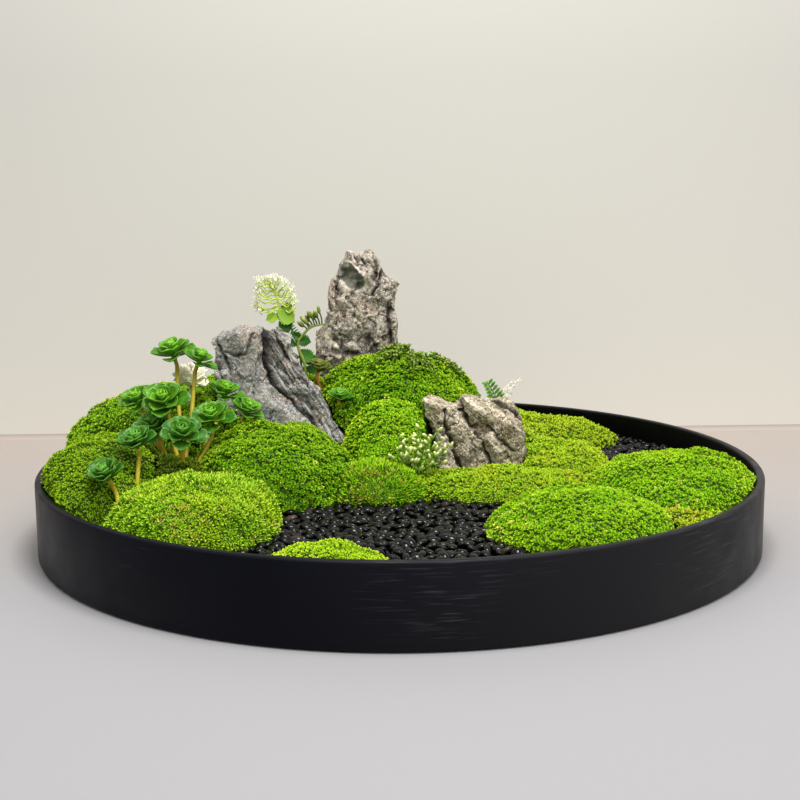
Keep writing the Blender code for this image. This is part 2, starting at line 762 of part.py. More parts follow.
def draw_leaf(shape, face, length, width, pitch_angle, sections):
    """Draw a face out into a spoon leaf: at each section its way out, width and rise."""
    centre = face.calc_center_median()
    heading = math.atan2(centre.y, centre.x)
    turn = Matrix.Rotation(heading, 3, "Z")
    root = math.hypot(centre.x, centre.y)
    slope = math.radians(pitch_angle)
    for share, breadth, thick in sections:
        face = bmesh.ops.extrude_discrete_faces(shape, faces=[face])["faces"][0]
        along = root + (length - root) * share
        middle = Vector((along * math.cos(slope), 0, centre.z + along * math.sin(slope)))
        middle.z += 0.05 * share * share
        corners = sorted(face.verts, key=lambda v: v.co.z)
        for row, pair in ((-1, corners[:2]), (1, corners[2:])):
            pair.sort(key=lambda v: (turn.inverted() @ v.co).y)
            for hand, vert in zip((-1, 1), pair):
                across = hand * breadth * width / 2
                lift = row * thick * HEAD_LEAF_THICK / 2
                local = middle + Vector((-math.sin(slope) * lift, across, math.cos(slope) * lift))
                vert.co = turn @ local
    return face


def head_turn(lean, right):
    return Matrix.Rotation(math.radians(lean), 4, "X") @ Matrix.Rotation(math.radians(right), 4, "Y")


def make_heads():
    """The heads share two meshes, and each is its own object, sized and turned."""
    kinds = {"open": head_mesh("open_head", OPEN_HEAD), "small": head_mesh("small_head", SMALL_HEAD)}
    for mesh in kinds.values():
        mesh.materials.append(finish("leaf"))
    for number, (name, row) in enumerate({**HEADS, **SINGLE_HEADS}.items()):
        x, y, z, width, lean, right, kind = row
        item = place(name, kinds[kind])
        spin = Matrix.Rotation(number * HEAD_SPIN, 4, "Z")
        item.matrix_world = (
            Matrix.Translation(millimetres((x, y, z)))
            @ head_turn(lean, right)
            @ spin
            @ Matrix.Scale(width * MM, 4)
        )


def stem_end(row):
    """Where a stem stops under a head, and the way it points there."""
    x, y, z, width, lean, right, kind = row
    way = head_turn(lean, right) @ Vector((0, 0, 1))
    return millimetres((x, y, z)) + way * (width * MM * HEAD_FOOT - GAP), way


def stem_points(foot, row, count=4):
    """A bend from a foot to the underside of a head, which it meets square."""
    end, way = stem_end(row)
    foot = Vector(foot)
    before = end - way * 7 * MM
    points = []
    middle = foot + Vector([(before - foot)[axis] * STEM_BEND[axis] for axis in range(3)])
    middle.z += 2 * MM
    for number in range(count):
        t = number / (count - 1)
        points.append(foot.lerp(middle, t).lerp(middle.lerp(before, t), t))
    points.append(end)
    return points


def make_stems():
    """One branching stem for the main heads, and a stem for each single one."""
    trunk = [tube([millimetres(TRUNK_FOOT), millimetres(TRUNK_TOP)], TRUNK_RADIUS, 1)]
    for row in HEADS.values():
        start = millimetres(TRUNK_TOP) - Vector((0, 0, 3 * MM))
        trunk.append(tube(stem_points(start, row), STEM_RADIUS, 1))
    stems = [place("succulent_stems", fused(trunk, "succulent_stems"), "stem")]
    for name, foot in SINGLE_FEET.items():
        points = stem_points(millimetres(foot), SINGLE_HEADS[name], 4)
        stem_name = name.replace("_head_", "_stem_")
        stems.append(place(stem_name, tube(points, STEM_RADIUS, 1), "stem"))
    for stem in stems:
        smooth(stem)


def spray_foot(name):
    """Where a spray stands in its hole, a little above the hole's end."""
    return millimetres(SPRAY_FEET[name][:3])


def white_flower():
    """A spidery flower: thin florets from one hub, on a green stem with a pale leaf."""
    hub = millimetres(FLOWER_HUB)
    draw = random.Random(11)
    pieces = [ball(hub, (3 * MM, 3 * MM, 3.2 * MM), 6, 4)]
    for number in range(FLORETS):
        angle = 2 * math.pi * number / FLORETS + draw.uniform(-0.2, 0.2)
        rise = draw.uniform(0.15, 1.1)
        reach = draw.uniform(19, 26) * MM
        way = Vector((math.cos(angle) * math.cos(rise), math.sin(angle) * math.cos(rise) * 0.7,
                      math.sin(rise)))
        end = hub + way * reach
        pieces.append(tube(bow(hub, end, (0, 0, 2.5 * MM), 3), 0.75 * MM, 0))
        pieces.append(ball(end, (2.8 * MM, 2.8 * MM, 2.4 * MM), 4, 3))
    place("white_flower_head", fused(pieces, "white_flower_head"), "cream")

    below = hub - Vector((0, 0, 3.2 * MM + GAP))
    stem = [spray_foot("white_flower_stem"), *(millimetres(spot) for spot in FLOWER_STEM)]
    stem += [below - Vector((0, 0, 5 * MM)), below]
    pieces = [tube(stem, 1.1 * MM, 1)]
    for spot, length, width, heading, raised in FLOWER_LEAVES:
        leaf = blade(length * MM, width * MM, 1.0 * MM, arch=-1.5 * MM, cup=1.2 * MM, rings=4)
        pieces.append(turned(
            leaf,
            Matrix.Translation(millimetres(spot)),
            Matrix.Rotation(math.radians(heading), 4, "Z"),
            Matrix.Rotation(-math.radians(raised), 4, "Y"),
        ))
    place("white_flower_stem", fused(pieces, "white_flower_stem"), "leaf")


def bud_sprig():
    """An arching stem that carries club-shaped buds."""
    arch = [spray_foot("bud_sprig"), *(millimetres(spot) for spot in SPRIG_ARCH)]
    pieces = [tube(arch, 1.0 * MM, 1, taper=0.7)]
    for start, tip in SPRIG_BUDS:
        start, tip = millimetres(start), millimetres(tip)
        way = (tip - start).normalized()
        pieces.append(tube([start, tip - way * 3 * MM], 0.6 * MM, 0))
        turn = way.to_track_quat("Z", "Y").to_matrix().to_4x4()
        pieces.append(ball(tip - way * 3.4 * MM, (1.9 * MM, 1.9 * MM, 4.2 * MM), 6, 4, turn))
    place("bud_sprig", fused(pieces, "bud_sprig"), "leaf")


def cream_blossom():
    """A round cluster of cream petals on a short stem behind the succulent."""
    centre = millimetres(BLOSSOM_CENTRE)
    foot = spray_foot("cream_blossom")
    pieces = [ball(centre, (7 * MM, 7 * MM, 6 * MM), 6, 4)]
    for number in range(PETALS):
        height = 1 - 1.25 * (number + 0.5) / PETALS
        angle = number * GOLDEN_ANGLE
        level = math.sqrt(max(0, 1 - height * height))
        way = Vector((math.cos(angle) * level, math.sin(angle) * level, height))
        petal = blade(10 * MM, 9 * MM, 1.4 * MM, arch=1.5 * MM, cup=1.2 * MM, rings=3)
        turn = way.to_track_quat("X", "Z").to_matrix().to_4x4()
        pieces.append(turned(petal, Matrix.Translation(centre + way * 4.5 * MM), turn))
    pieces.append(tube([foot, centre], 1.3 * MM, 1))
    place("cream_blossom", fused(pieces, "cream_blossom"), "cream")


def white_bud_spray():
    """A fan of thin stems from one foot, each with its cream buds."""
    foot = spray_foot("white_bud_spray")
    fork = foot + Vector((0, 0, 24 * MM))
    draw = random.Random(5)
    pieces = [tube([foot, fork], 1.3 * MM, 1)]
    for number in range(WHITE_BUDS):
        x = -6 + 52 * ((number * 0.618) % 1)
        height = 64 + 32 * ((number + 0.5) / WHITE_BUDS)
        x += draw.uniform(-2, 2)
        y = -36 + draw.uniform(-16, 4)
        start = fork - Vector((0, 0, 8 * MM * (1 - (number + 0.5) / WHITE_BUDS)))
        tip = clear_of_moss(start, millimetres((x, y, height)))
        way = (tip - start).normalized()
        pieces.append(tube([start, tip - way * 2 * MM], 0.5 * MM, 0))
        turn = way.to_track_quat("Z", "Y").to_matrix().to_4x4()
        pieces.append(ball(tip - way * 1.5 * MM, (2.2 * MM, 2.2 * MM, 3.4 * MM), 4, 4, turn))
    place("white_bud_spray", fused(pieces, "white_bud_spray"), "cream")


def berry_sprig():
    """A low bush of short twigs with green berries beside the tall stone."""
    foot = spray_foot("berry_sprig")
    fork = foot + Vector((0, 0, 41 * MM))
    draw = random.Random(8)
    pieces = [tube([foot, fork + Vector((0, 0, 2 * MM))], 1.4 * MM, 1)]
    for number in range(BERRIES):
        t = (number + 0.5) / BERRIES
        x = -12 + 46 * ((number * 0.618) % 1)
        y = 70 - 26 * t + draw.uniform(-2, 2)
        z = moss_level(x, y) + 8 + 3 * math.sin(number * 2.1)
        tip = clear_of_moss(fork, millimetres((x, y, z)))
        way = (tip - fork).normalized()
        pieces.append(tube([fork, tip - way * 1.5 * MM], 0.6 * MM, 0))
        pieces.append(ball(tip, (2.8 * MM, 2.8 * MM, 2.8 * MM), 5, 3))
    place("berry_sprig", fused(pieces, "berry_sprig"), "leaf")


def fern_tip():
    """A small fern tip with leaflets on both sides, and two thin filaments."""
    start, end, bulge = [millimetres(spot) for spot in FERN_RIB]
    rib = bow(start, end, bulge, 5)
    pieces = [tube([spray_foot("fern_tip"), *rib], 0.9 * MM, 1)]
    for number in range(FERN_PAIRS):
        t = 0.36 + 0.14 * number
        spot = start.lerp(end, t) + bulge * math.sin(math.pi * t)
        length = (15 - 1.6 * number) * MM
        for side in (-1, 1):
            leaf = blade(length, 3.4 * MM, 1.0 * MM, rings=3, tip=0.45)
            pieces.append(turned(
                leaf,
                Matrix.Translation(spot),
                Matrix.Rotation(math.radians(90 - 90 * side), 4, "Z"),
                Matrix.Rotation(-math.radians(35), 4, "Y"),
            ))
    for end, bulge in FERN_THREADS:
        thread = bow(millimetres(FERN_THREAD_START), millimetres(end), millimetres(bulge), 5)
        pieces.append(tube(thread, 0.5 * MM, 0))
    place("fern_tip", fused(pieces, "fern_tip"), "leaf")


def scoop_out(item):
    """Cut the scoops out of the tall stone."""
    cutters = []
    for number, (centre, radii) in enumerate(TALL_STONE_SCOOPS):
        mesh = ball(millimetres(centre), millimetres(radii), 8, 6)
        cutters.append(place(f"scoop_{number}", mesh, None, CUTTERS))
    return cut(item, cutters)


def build():
    make_tray()
    place("foam_base", foam_shape("foam_base", 0), "foam")
    foam_room = place("foam_room", foam_shape("foam_room", GAP), None, CUTTERS)

    stones = [stone(name) for name in STONE_MAKE]
    scoop_out(stones[1])
    for item in stones:
        cut(item, [foam_room])
    stone_rooms = [grown(item, STONE_ROOM) for item in stones]

    make_heads()
    make_stems()
    white_flower()
    bud_sprig()
    cream_blossom()
    white_bud_spray()
    berry_sprig()
    fern_tip()
    stem_rooms = stem_holes()

    before = [foam_room, *stone_rooms, *stem_rooms]
    rooms = []
    for name in CUSHIONS:
        item = place(name, cushion(name, 0), "moss")
        cut(item, before + rooms, "MANIFOLD")
        item.data.materials.clear()
        item.data.materials.append(finish("moss"))
        smooth(item)
        rooms.append(place(name + "_room", cushion(name, CUSHION_GROW), None, CUTTERS))

    beds = [
        pebble_bed("pebbles_front", PEBBLES_FRONT, 3, PEBBLE_LEVEL),
        pebble_bed("pebbles_back", PEBBLES_BACK, 4, PEBBLE_LEVEL_BACK),
    ]
    for bed in beds:
        cut(bed, [*stone_rooms, *stem_rooms, *rooms], "MANIFOLD")


def stem_holes():
    """Plain round holes for the stems, from over the moss down to their feet."""
    below = Vector((0, 0, 0.5 * MM))
    trunk_top = millimetres((*TRUNK_FOOT[:2], TRUNK_HOLE_TOP))
    runs = [("trunk", [millimetres(TRUNK_FOOT), trunk_top], TRUNK_HOLE)]
    for name, foot in SINGLE_FEET.items():
        runs.append((name, stem_points(millimetres(foot), SINGLE_HEADS[name]), STEM_HOLE))
    for name, (x, y, z, radius) in SPRAY_FEET.items():
        top = moss_level(x, y) + HOLE_OVER_MOSS
        runs.append((name, [millimetres((x, y, z)), millimetres((x, y, top))], radius))
    rooms = []
    for name, points, radius in runs:
        points = [Vector(points[0]) - below, *points[1:]]
        rooms.append(place("hole_" + name, tube(points, radius * MM, 1), None, CUTTERS))
    return rooms


build()
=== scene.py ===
# %% [markdown]
# # A moss landscape in a low black tray
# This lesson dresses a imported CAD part: a low round tray filled with hills of preserved
# moss, three stones, glossy pebbles, a succulent and small flower sprays. The CAD solids
# give every place and size. Each step builds the real surface of one kind of piece in
# their place: thousands of small moss sprigs, chipped stone, loose pebbles, thick leaves.

# %% Load the CAD frame
import math
import random

import bpy
import numpy as np
from mathutils import Matrix, Vector, noise
from mathutils.bvhtree import BVHTree
from mathutils.kdtree import KDTree


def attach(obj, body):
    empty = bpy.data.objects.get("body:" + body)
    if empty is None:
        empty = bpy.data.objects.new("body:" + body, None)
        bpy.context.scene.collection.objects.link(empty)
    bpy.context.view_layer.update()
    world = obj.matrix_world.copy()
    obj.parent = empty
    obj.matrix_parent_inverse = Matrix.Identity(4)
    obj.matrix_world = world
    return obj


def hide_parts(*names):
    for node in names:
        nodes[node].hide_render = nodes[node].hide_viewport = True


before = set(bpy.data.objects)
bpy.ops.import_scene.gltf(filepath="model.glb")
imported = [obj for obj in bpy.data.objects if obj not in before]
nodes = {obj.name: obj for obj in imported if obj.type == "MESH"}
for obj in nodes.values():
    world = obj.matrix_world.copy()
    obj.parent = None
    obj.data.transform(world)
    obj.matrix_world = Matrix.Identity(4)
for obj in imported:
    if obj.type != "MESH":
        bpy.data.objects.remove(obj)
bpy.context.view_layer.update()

MM = 0.001
moss_nodes = [name for name in nodes if name.startswith("moss_")]
print("CAD nodes:", len(nodes), "of them moss cushions:", len(moss_nodes))

# %% [markdown]
# ## The camera
# The photograph looks slightly down on the tray from a bit over a metre away, so that
# the rim is a flat ellipse. The camera was fitted to the ellipses of the rim and of the
# foot, and stands at the same place, turned by the same angles.

# %% Camera
CAMERA_PLACE = (0.0006, -1.1598, 0.3174)
PITCH = math.radians(9.98)
ROLL = math.radians(-0.39)
forward = Vector((0, math.cos(PITCH), -math.sin(PITCH)))
level_up = Vector((0, math.sin(PITCH), math.cos(PITCH)))
level_right = Vector((1, 0, 0))
right = math.cos(ROLL) * level_right + math.sin(ROLL) * level_up
up = math.cos(ROLL) * level_up - math.sin(ROLL) * level_right
camera = bpy.data.objects.new("camera", bpy.data.cameras.new("camera"))
camera.data.lens = 63
camera.data.sensor_width = 36
turn = Matrix((right, up, -forward)).transposed().to_4x4()
camera.matrix_world = Matrix.Translation(CAMERA_PLACE) @ turn
bpy.context.scene.collection.objects.link(camera)
bpy.context.scene.camera = camera
bpy.context.scene.view_settings.view_transform = "Standard"
print("camera looks down by", round(math.degrees(PITCH), 1), "degrees")

# %% [markdown]
# ## Colours and nodes in a few words
# Every finish below is a small graph of shader nodes. One helper makes a node, gives it
# its settings, and wires or sets its inputs, so that each finish reads as a short recipe.
# Colours are given on the 0-255 scale and turned into the linear values that Blender uses.


# %% Colours from the 0-255 scale
def colour(red, green, blue):
    """Linear values for a colour that is read off on the usual 0-255 scale."""
    values = [c / 255 for c in (red, green, blue)]
    linear = [((c + 0.055) / 1.055) ** 2.4 if c > 0.04 else c / 12.92 for c in values]
    return (*linear, 1)


print("mid grey in linear light:", round(colour(128, 128, 128)[0], 3))


# %% Nodes
def wire(tree, source, target):
    """Link an output socket to an input socket."""
    tree.links.new(source, target)


def made(tree, kind, inputs, **settings):
    """A node of a kind with its settings; each input gets a socket or a value."""
    node = tree.nodes.new("ShaderNode" + kind)
    for label, value in settings.items():
        setattr(node, label, value)
    for label, given in inputs.items():
        if isinstance(given, bpy.types.NodeSocket):
            wire(tree, given, node.inputs[label])
        else:
            node.inputs[label].default_value = given
    return node


def blended(tree, factor, first, second):
    """Two colours mixed by a factor."""
    return made(tree, "Mix", {0: factor, 6: first, 7: second}, data_type="RGBA").outputs[2]


def both(tree, first, second):
    """Two masks multiplied."""
    return made(tree, "Math", {0: first, 1: second}, operation="MULTIPLY").outputs[0]


def spread(tree, value, low, high, first=0.0, last=1.0):
    """A value stretched so that low gives the first number and high the last, clamped."""
    limits = {"Value": value, "From Min": low, "From Max": high, "To Min": first, "To Max": last}
    return made(tree, "MapRange", limits).outputs["Result"]


def object_place(tree):
    """Where a point lies on the object, in metres."""
    return made(tree, "TexCoord", {}).outputs["Object"]


def new_finish(name, roughness, specular):
    """A material with its node tree and its Principled shader."""
    material = bpy.data.materials.new(name)
    material.use_nodes = True
    shader = material.node_tree.nodes["Principled BSDF"]
    shader.inputs["Roughness"].default_value = roughness
    shader.inputs["Specular IOR Level"].default_value = specular
    return material, material.node_tree, shader


# %% [markdown]
# ## The floor and the light
# A pale floor runs up into a pale wall close behind the tray, in one sheet with a tight
# bend, as on a studio table. Two soft lamps and a bright ceiling light it.


# %% Floor and wall in one sweep
def studio_sweep():
    """A floor that turns up into a wall in a tight bend behind the tray."""
    HALF, WALL_AT, WALL_TOP, BEND, STEPS = 4.0, 0.4175, 3.0, 0.006, 8
    BELOW_FOOT = 0.0004
    profile = [(-HALF, 0.0)]
    for step in range(STEPS + 1):
        angle = math.pi / 2 * step / STEPS
        profile.append((WALL_AT - BEND + BEND * math.sin(angle), BEND - BEND * math.cos(angle)))
    profile.append((WALL_AT, WALL_TOP))
    count = len(profile)
    points = [(x, y, z - BELOW_FOOT) for x in (-HALF, HALF) for y, z in profile]
    faces = [(n, count + n, count + n + 1, n + 1) for n in range(count - 1)]
    mesh = bpy.data.meshes.new("studio_sweep")
    mesh.from_pydata(points, [], faces)
    mesh.shade_smooth()
    return mesh


def studio_paper(name, axis, start, end, first, last):
    """A plain paper whose colour fades along one axis as painted light and shade, and is clear from behind
    for other views.
    """
    paper, tree, shader = new_finish(name, 0.6, 0.2)
    parts = made(tree, "SeparateXYZ", {0: object_place(tree)})
    share = spread(tree, parts.outputs[axis], start, end)
    wire(tree, blended(tree, share, first, last), shader.inputs["Base Color"])
    side = made(tree, "NewGeometry", {}).outputs["Backfacing"]
    clear = made(tree, "BsdfTransparent", {}).outputs[0]
    choose = made(tree, "MixShader", {0: side, 1: shader.outputs[0], 2: clear})
    wire(tree, choose.outputs[0], tree.nodes["Material Output"].inputs[0])
    return paper


WALL_TURN = math.radians(1.8)
sweep = bpy.data.objects.new("studio_sweep", studio_sweep())
sweep.rotation_euler.z = WALL_TURN
bpy.context.scene.collection.objects.link(sweep)
# painted light and shade: the floor is darker towards the front and the wall darker towards its top
for paper in (
    studio_paper("floor_paper", "Y", -0.15, 0.43, colour(149, 148, 150), colour(170, 159, 151)),
    studio_paper("wall_paper", "Z", 0.0, 0.4, colour(202, 199, 190), colour(183, 181, 175)),
):
    sweep.data.materials.append(paper)
for face in sweep.data.polygons:
    face.material_index = int(face.center.z > 0.01)
print("sweep faces:", len(sweep.data.polygons))


# %% Soft lamps
def soft_lamp(name, place, size, power, tint):
    """A square lamp that shines from a place towards the moss."""
    lamp = bpy.data.objects.new(name, bpy.data.lights.new(name, "AREA"))
    lamp.data.shape = "SQUARE"
    lamp.data.size = size
    lamp.data.energy = power
    lamp.data.color = tint
    lamp.location = place
    lamp.rotation_mode = "QUATERNION"
    lamp.rotation_quaternion = (Vector((0, 0, 0.05)) - Vector(place)).to_track_quat("-Z", "Y")
    bpy.context.scene.collection.objects.link(lamp)


soft_lamp("top_lamp", (0.08, -0.35, 1.35), 0.45, 19, (1.0, 0.985, 0.955))
soft_lamp("front_lamp", (0.9, -1.6, 1.6), 0.8, 14, (1.0, 0.98, 0.96))


# %% Air: bright above, dim in front
def studio_air():
    """A world that is bright overhead and dim at eye level, as a room behind a camera."""
    world = bpy.data.worlds.new("studio_air")
    world.use_nodes = True
    tree = world.node_tree
    air = tree.nodes["Background"]
    parts = made(tree, "SeparateXYZ", {0: made(tree, "TexCoord", {}).outputs["Generated"]})
    wire(tree, spread(tree, parts.outputs["Z"], 0.0, 0.55, 0.24, 1.25), air.inputs["Strength"])
    air.inputs["Color"].default_value = (0.985, 0.985, 0.985, 1)
    bpy.context.scene.world = world


studio_air()
print("world:", bpy.context.scene.world.name)

# %% [markdown]
# ## Effects that several finishes share
# Moss, stone, leaf and tray all need colour that wanders over the surface, and a fine
# bump. Each effect is one node group with named inputs, placed in every material with
# its own values, so that a change in one place reaches all of them.


# %% A group builder
def effect(name, inputs, outputs):
    """A new node group, given each input's default, which tells its kind, and the outputs."""
    tree = bpy.data.node_groups.new(name, "ShaderNodeTree")
    kinds = {1: "Float", 3: "Vector", 4: "Color"}
    for label, value in inputs.items():
        kind = "NodeSocket" + kinds[np.size(value)]
        tree.interface.new_socket(label, in_out="INPUT", socket_type=kind).default_value = value
    for label, kind in outputs.items():
        tree.interface.new_socket(label, in_out="OUTPUT", socket_type="NodeSocket" + kind)
    return tree, tree.nodes.new("NodeGroupInput").outputs, tree.nodes.new("NodeGroupOutput").inputs


# %% Wandering mask
def wandering_mask():
    """Noise over the surface, stretched between a low and a high level."""
    tree, given, out = effect(
        "wandering_mask",
        {"Scale": 100.0, "Detail": 3.0, "Low": 0.4, "High": 0.6, "Warp": 0.0, "Stretch": (1, 1, 1)},
        {"Mask": "Float"},
    )
    stretch = made(tree, "VectorMath", {0: object_place(tree), 1: given["Stretch"]}, operation="MULTIPLY")
    cloud = made(tree, "TexNoise", {"Vector": stretch.outputs[0], "Scale": given["Scale"],
                                    "Detail": given["Detail"], "Distortion": given["Warp"]})
    wire(tree, spread(tree, cloud.outputs[0], given["Low"], given["High"]), out["Mask"])
    return tree


WANDERING = wandering_mask()


def mask(tree, scale, low, high, detail=3.0, warp=0.0, stretch=(1, 1, 1)):
    """A wandering mask placed in a material, with its own values."""
    values = {"Scale": scale, "Detail": detail, "Low": low, "High": high, "Warp": warp, "Stretch": stretch}
    return made(tree, "Group", values, node_tree=WANDERING).outputs["Mask"]


def painted_value(tree, name):
    """A number that the mesh itself carries at each point."""
    return made(tree, "Attribute", {}, attribute_name=name).outputs["Fac"]


def bumped(tree, shader, height, strength, distance):
    """Feed a height into the shader's normal through a Bump node."""
    bump = made(tree, "Bump", {"Strength": strength, "Distance": distance, "Height": height})
    wire(tree, bump.outputs["Normal"], shader.inputs["Normal"])


print("shared effects:", [group.name for group in bpy.data.node_groups])

# %% [markdown]
# ## Shapes as arrays
# A moss hill has thousands of leaves. Adding them one by one with operators would take
# minutes, so shapes here are arrays: a list of points, a list of triangles, and named
# numbers that each point carries for the shader to read. Many small shapes are stacked
# into one mesh at the end.


# %% Stack shapes and make a piece
def stacked(shapes):
    """Several (points, triangles, marks) as one."""
    points, triangles, marks, start = [], [], {}, 0
    for these_points, these_triangles, these_marks in shapes:
        points.append(these_points)
        triangles.append(these_triangles + start)
        start += len(these_points)
        for name, values in these_marks.items():
            marks.setdefault(name, []).append(values)
    joined = {name: np.concatenate(values) for name, values in marks.items()}
    return np.concatenate(points), np.concatenate(triangles), joined


def make_piece(name, shape, finishes, node, sides=None, flat=False):
    """A mesh object for a shape, which rides on the part and stands for a CAD node."""
    points, triangles, marks = shape
    mesh = bpy.data.meshes.new(name)
    mesh.vertices.add(len(points))
    mesh.vertices.foreach_set("co", np.ascontiguousarray(points, np.float32).ravel())
    mesh.loops.add(3 * len(triangles))
    mesh.loops.foreach_set("vertex_index", np.ascontiguousarray(triangles, np.int32).ravel())
    mesh.polygons.add(len(triangles))
    starts = np.arange(0, 3 * len(triangles), 3, dtype=np.int32)
    mesh.polygons.foreach_set("loop_start", starts)
    mesh.update(calc_edges=True)
    for label, values in marks.items():
        layer = mesh.attributes.new(label, "FLOAT", "POINT")
        layer.data.foreach_set("value", np.ascontiguousarray(values, np.float32))
    for material in finishes if isinstance(finishes, (list, tuple)) else [finishes]:
        mesh.materials.append(material)
    if sides is not None:
        mesh.polygons.foreach_set("material_index", np.ascontiguousarray(sides, np.int32))
    if not flat:
        mesh.shade_smooth()
    piece = bpy.data.objects.new(name, mesh)
    bpy.context.scene.collection.objects.link(piece)
    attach(piece, "root")
    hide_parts(node)
    print(name, len(triangles), "triangles")
    return piece


def moved(shape, matrix):
    """A shape after a 4 by 4 matrix."""
    points, triangles, marks = shape
    grid = np.array(matrix)
    return points @ grid[:3, :3].T + grid[:3, 3], triangles, marks


# %% Rings and rods
def ring_shape(centres, ring_points, marks):
    """A closed skin over rings of points, with a tip at both ends."""
    rows, around = ring_points.shape[:2]
    points = np.concatenate([ring_points.reshape(-1, 3), centres])
    triangles = []
    for row in range(rows - 1):
        for n in range(around):
            a, b = row * around + n, row * around + (n + 1) % around
            c, d = a + around, b + around
            triangles += [(a, b, d), (a, d, c)]
    first, last = rows * around, rows * around + 1
    for n in range(around):
        triangles.append((first, (n + 1) % around, n))
        end = (rows - 1) * around
        triangles.append((last, end + n, end + (n + 1) % around))
    return points, np.array(triangles), marks


def rod(path, radii, around=6, tone=0.5):
    """A round rod along a path, whose radius may change on the way."""
    path = np.array([list(point) for point in path], float)
    radii = np.broadcast_to(np.array(radii, float), (len(path),))
    along = np.gradient(path, axis=0)
    along /= np.linalg.norm(along, axis=1)[:, None]
    side = np.cross(along[0], (0.31, 0.95, 0.05) if abs(along[0][1]) < 0.9 else (1, 0, 0))
    rings = []
    for point, way, radius in zip(path, along, radii):
        side = side - way * (side @ way)
        side = side / np.linalg.norm(side)
        other = np.cross(way, side)
        angle = np.arange(around) / around * 2 * math.pi
        ring = np.outer(np.cos(angle), side) + np.outer(np.sin(angle), other)
        rings.append(point + ring * radius)
    share = np.linspace(0, 1, len(path)).repeat(around)
    marks = {"along": np.concatenate([share, [0, 1]]), "edge": np.zeros(len(share) + 2),
             "tone": np.full(len(share) + 2, tone)}
    return ring_shape(path[[0, -1]], np.array(rings), marks)


# %% Leaves and buds
def leaf(length, width, thick, cup, curl, widest=0.62, foot=0.25, rows=7, around=8, tone=0.5,
         teeth=0, tip=0.0):
    """A thick leaf along +X: rings that widen to a round end, bent up and cupped.

    widest is where the leaf is widest, foot the width left at its foot, teeth the waves
    of its rim from ring to ring, and tip how far the middle of its end stands out.
    """
    t = np.linspace(0.02, 0.985, rows)
    swell = np.sin(math.pi * t ** (math.log(0.5) / math.log(widest))) ** 0.62
    half = width / 2 * np.maximum(foot * (1 - t) ** 0.5, swell)
    angle = np.arange(around) / around * 2 * math.pi
    across = np.cos(angle)
    rings = np.zeros((rows, around, 3))
    for row in range(rows):
        reach = half[row] * (1 + 0.2 * math.sin(teeth * row) * (teeth > 0))
        rings[row, :, 0] = length * (t[row] + tip * t[row] ** 6 * (1 - across ** 2))
        rings[row, :, 1] = reach * across
        body = thick / 2 * np.sin(angle) * min(1, 0.25 + 2 * swell[row])
        rings[row, :, 2] = body + curl * t[row] ** 2 + cup * across ** 2 * (half[row] / width * 2)
    ends = np.array([[0, 0, 0], [length * (1 + tip), 0, curl]])
    marks = {
        "along": np.concatenate([t.repeat(around), [0, 1]]),
        "edge": np.concatenate([np.tile(across ** 2, rows) * 0.8 + 0.2 * (t ** 6).repeat(around), [0, 1]]),
        "tone": np.full(rows * around + 2, tone),
    }
    return ring_shape(ends, rings, marks)


def bud(place, way, length, radius, tone=0.5, around=6, rows=5):
    """An egg-shaped bud at a place, pointing along a way."""
    t = np.linspace(0.06, 0.95, rows)
    size = radius * np.sin(math.pi * t ** 0.85) ** 0.6
    path = [Vector(place) + Vector(way).normalized() * length * share for share in t]
    points, triangles, marks = rod(path, size, around, tone)
    marks["edge"] = marks["along"] ** 1.3
    return points, triangles, marks


print("a leaf has", len(leaf(1, 0.5, 0.1, 0, 0)[1]), "triangles")

# %% [markdown]
# ## The tray
# The real tray is a low round drum with a thick wall, a matt black coat and a rim whose
# edges are slightly eased. Fine turning lines run round its side. A profile turned about
# the middle gives such a drum: the CAD one has few sides, so a finer one replaces it.

# %% Tray finish
tray_finish, tree, shader = new_finish("matt_black_coat", 0.42, 0.1)
coat = blended(tree, mask(tree, 9.0, 0.35, 0.75, 4.0), colour(3, 4, 12), colour(7, 9, 20))
side = made(tree, "SeparateXYZ", {0: object_place(tree)})
# painted sheen: the coat turns lighter grey towards the right side of the tray
coat = blended(tree, spread(tree, side.outputs["X"], -0.08, 0.2), coat, colour(31, 31, 33))
turning_lines = mask(tree, 1.0, 0.55, 0.75, 3.0, 0.0, (36.0, 36.0, 800.0))
# painted highlight: in patches the turning lines are painted light grey, as where they catch a lamp
lit_lines = both(tree, turning_lines, mask(tree, 6.0, 0.5, 0.68, 2.0))
coat = blended(tree, lit_lines, coat, colour(60, 62, 66))
normal = made(tree, "TexCoord", {}).outputs["Normal"]
outward = made(tree, "VectorMath", {0: object_place(tree), 1: normal}, operation="DOT_PRODUCT")
# painted shade: the inside of the wall is turned near black
shaded_inner_wall = spread(tree, outward.outputs["Value"], 0.02, -0.18)
wire(tree, blended(tree, shaded_inner_wall, coat, colour(2, 2, 3)), shader.inputs["Base Color"])
dull = spread(tree, mask(tree, 30.0, 0.3, 0.7, 4.0), 0.0, 1.0, 0.36, 0.5)
wire(tree, dull, shader.inputs["Roughness"])
bumped(tree, shader, turning_lines, 0.25, 0.0002)
print("tray finish:", len(tree.nodes), "nodes")


# %% Turned drum
def tray_profile():
    """The drum's outline from the middle of the floor, over the rim, to the foot."""
    RADIUS, HEIGHT, WALL, FLOOR, ROUND, EASE = 0.3, 0.0615, 0.007, 0.005, 0.0022, 0.004
    inner = RADIUS - WALL
    corners = [(0, FLOOR), (inner - EASE, FLOOR), (inner, FLOOR + EASE)]
    for middle, start in ((inner + ROUND, 180), (RADIUS - ROUND, 90)):
        for step in range(7):
            angle = math.radians(start - 15 * step)
            corners.append((middle + ROUND * math.cos(angle), HEIGHT - ROUND + ROUND * math.sin(angle)))
    corners += [(RADIUS, 0.0025), (RADIUS - 0.0008, 0.0008), (RADIUS - 0.0025, 0), (0, 0)]
    return corners


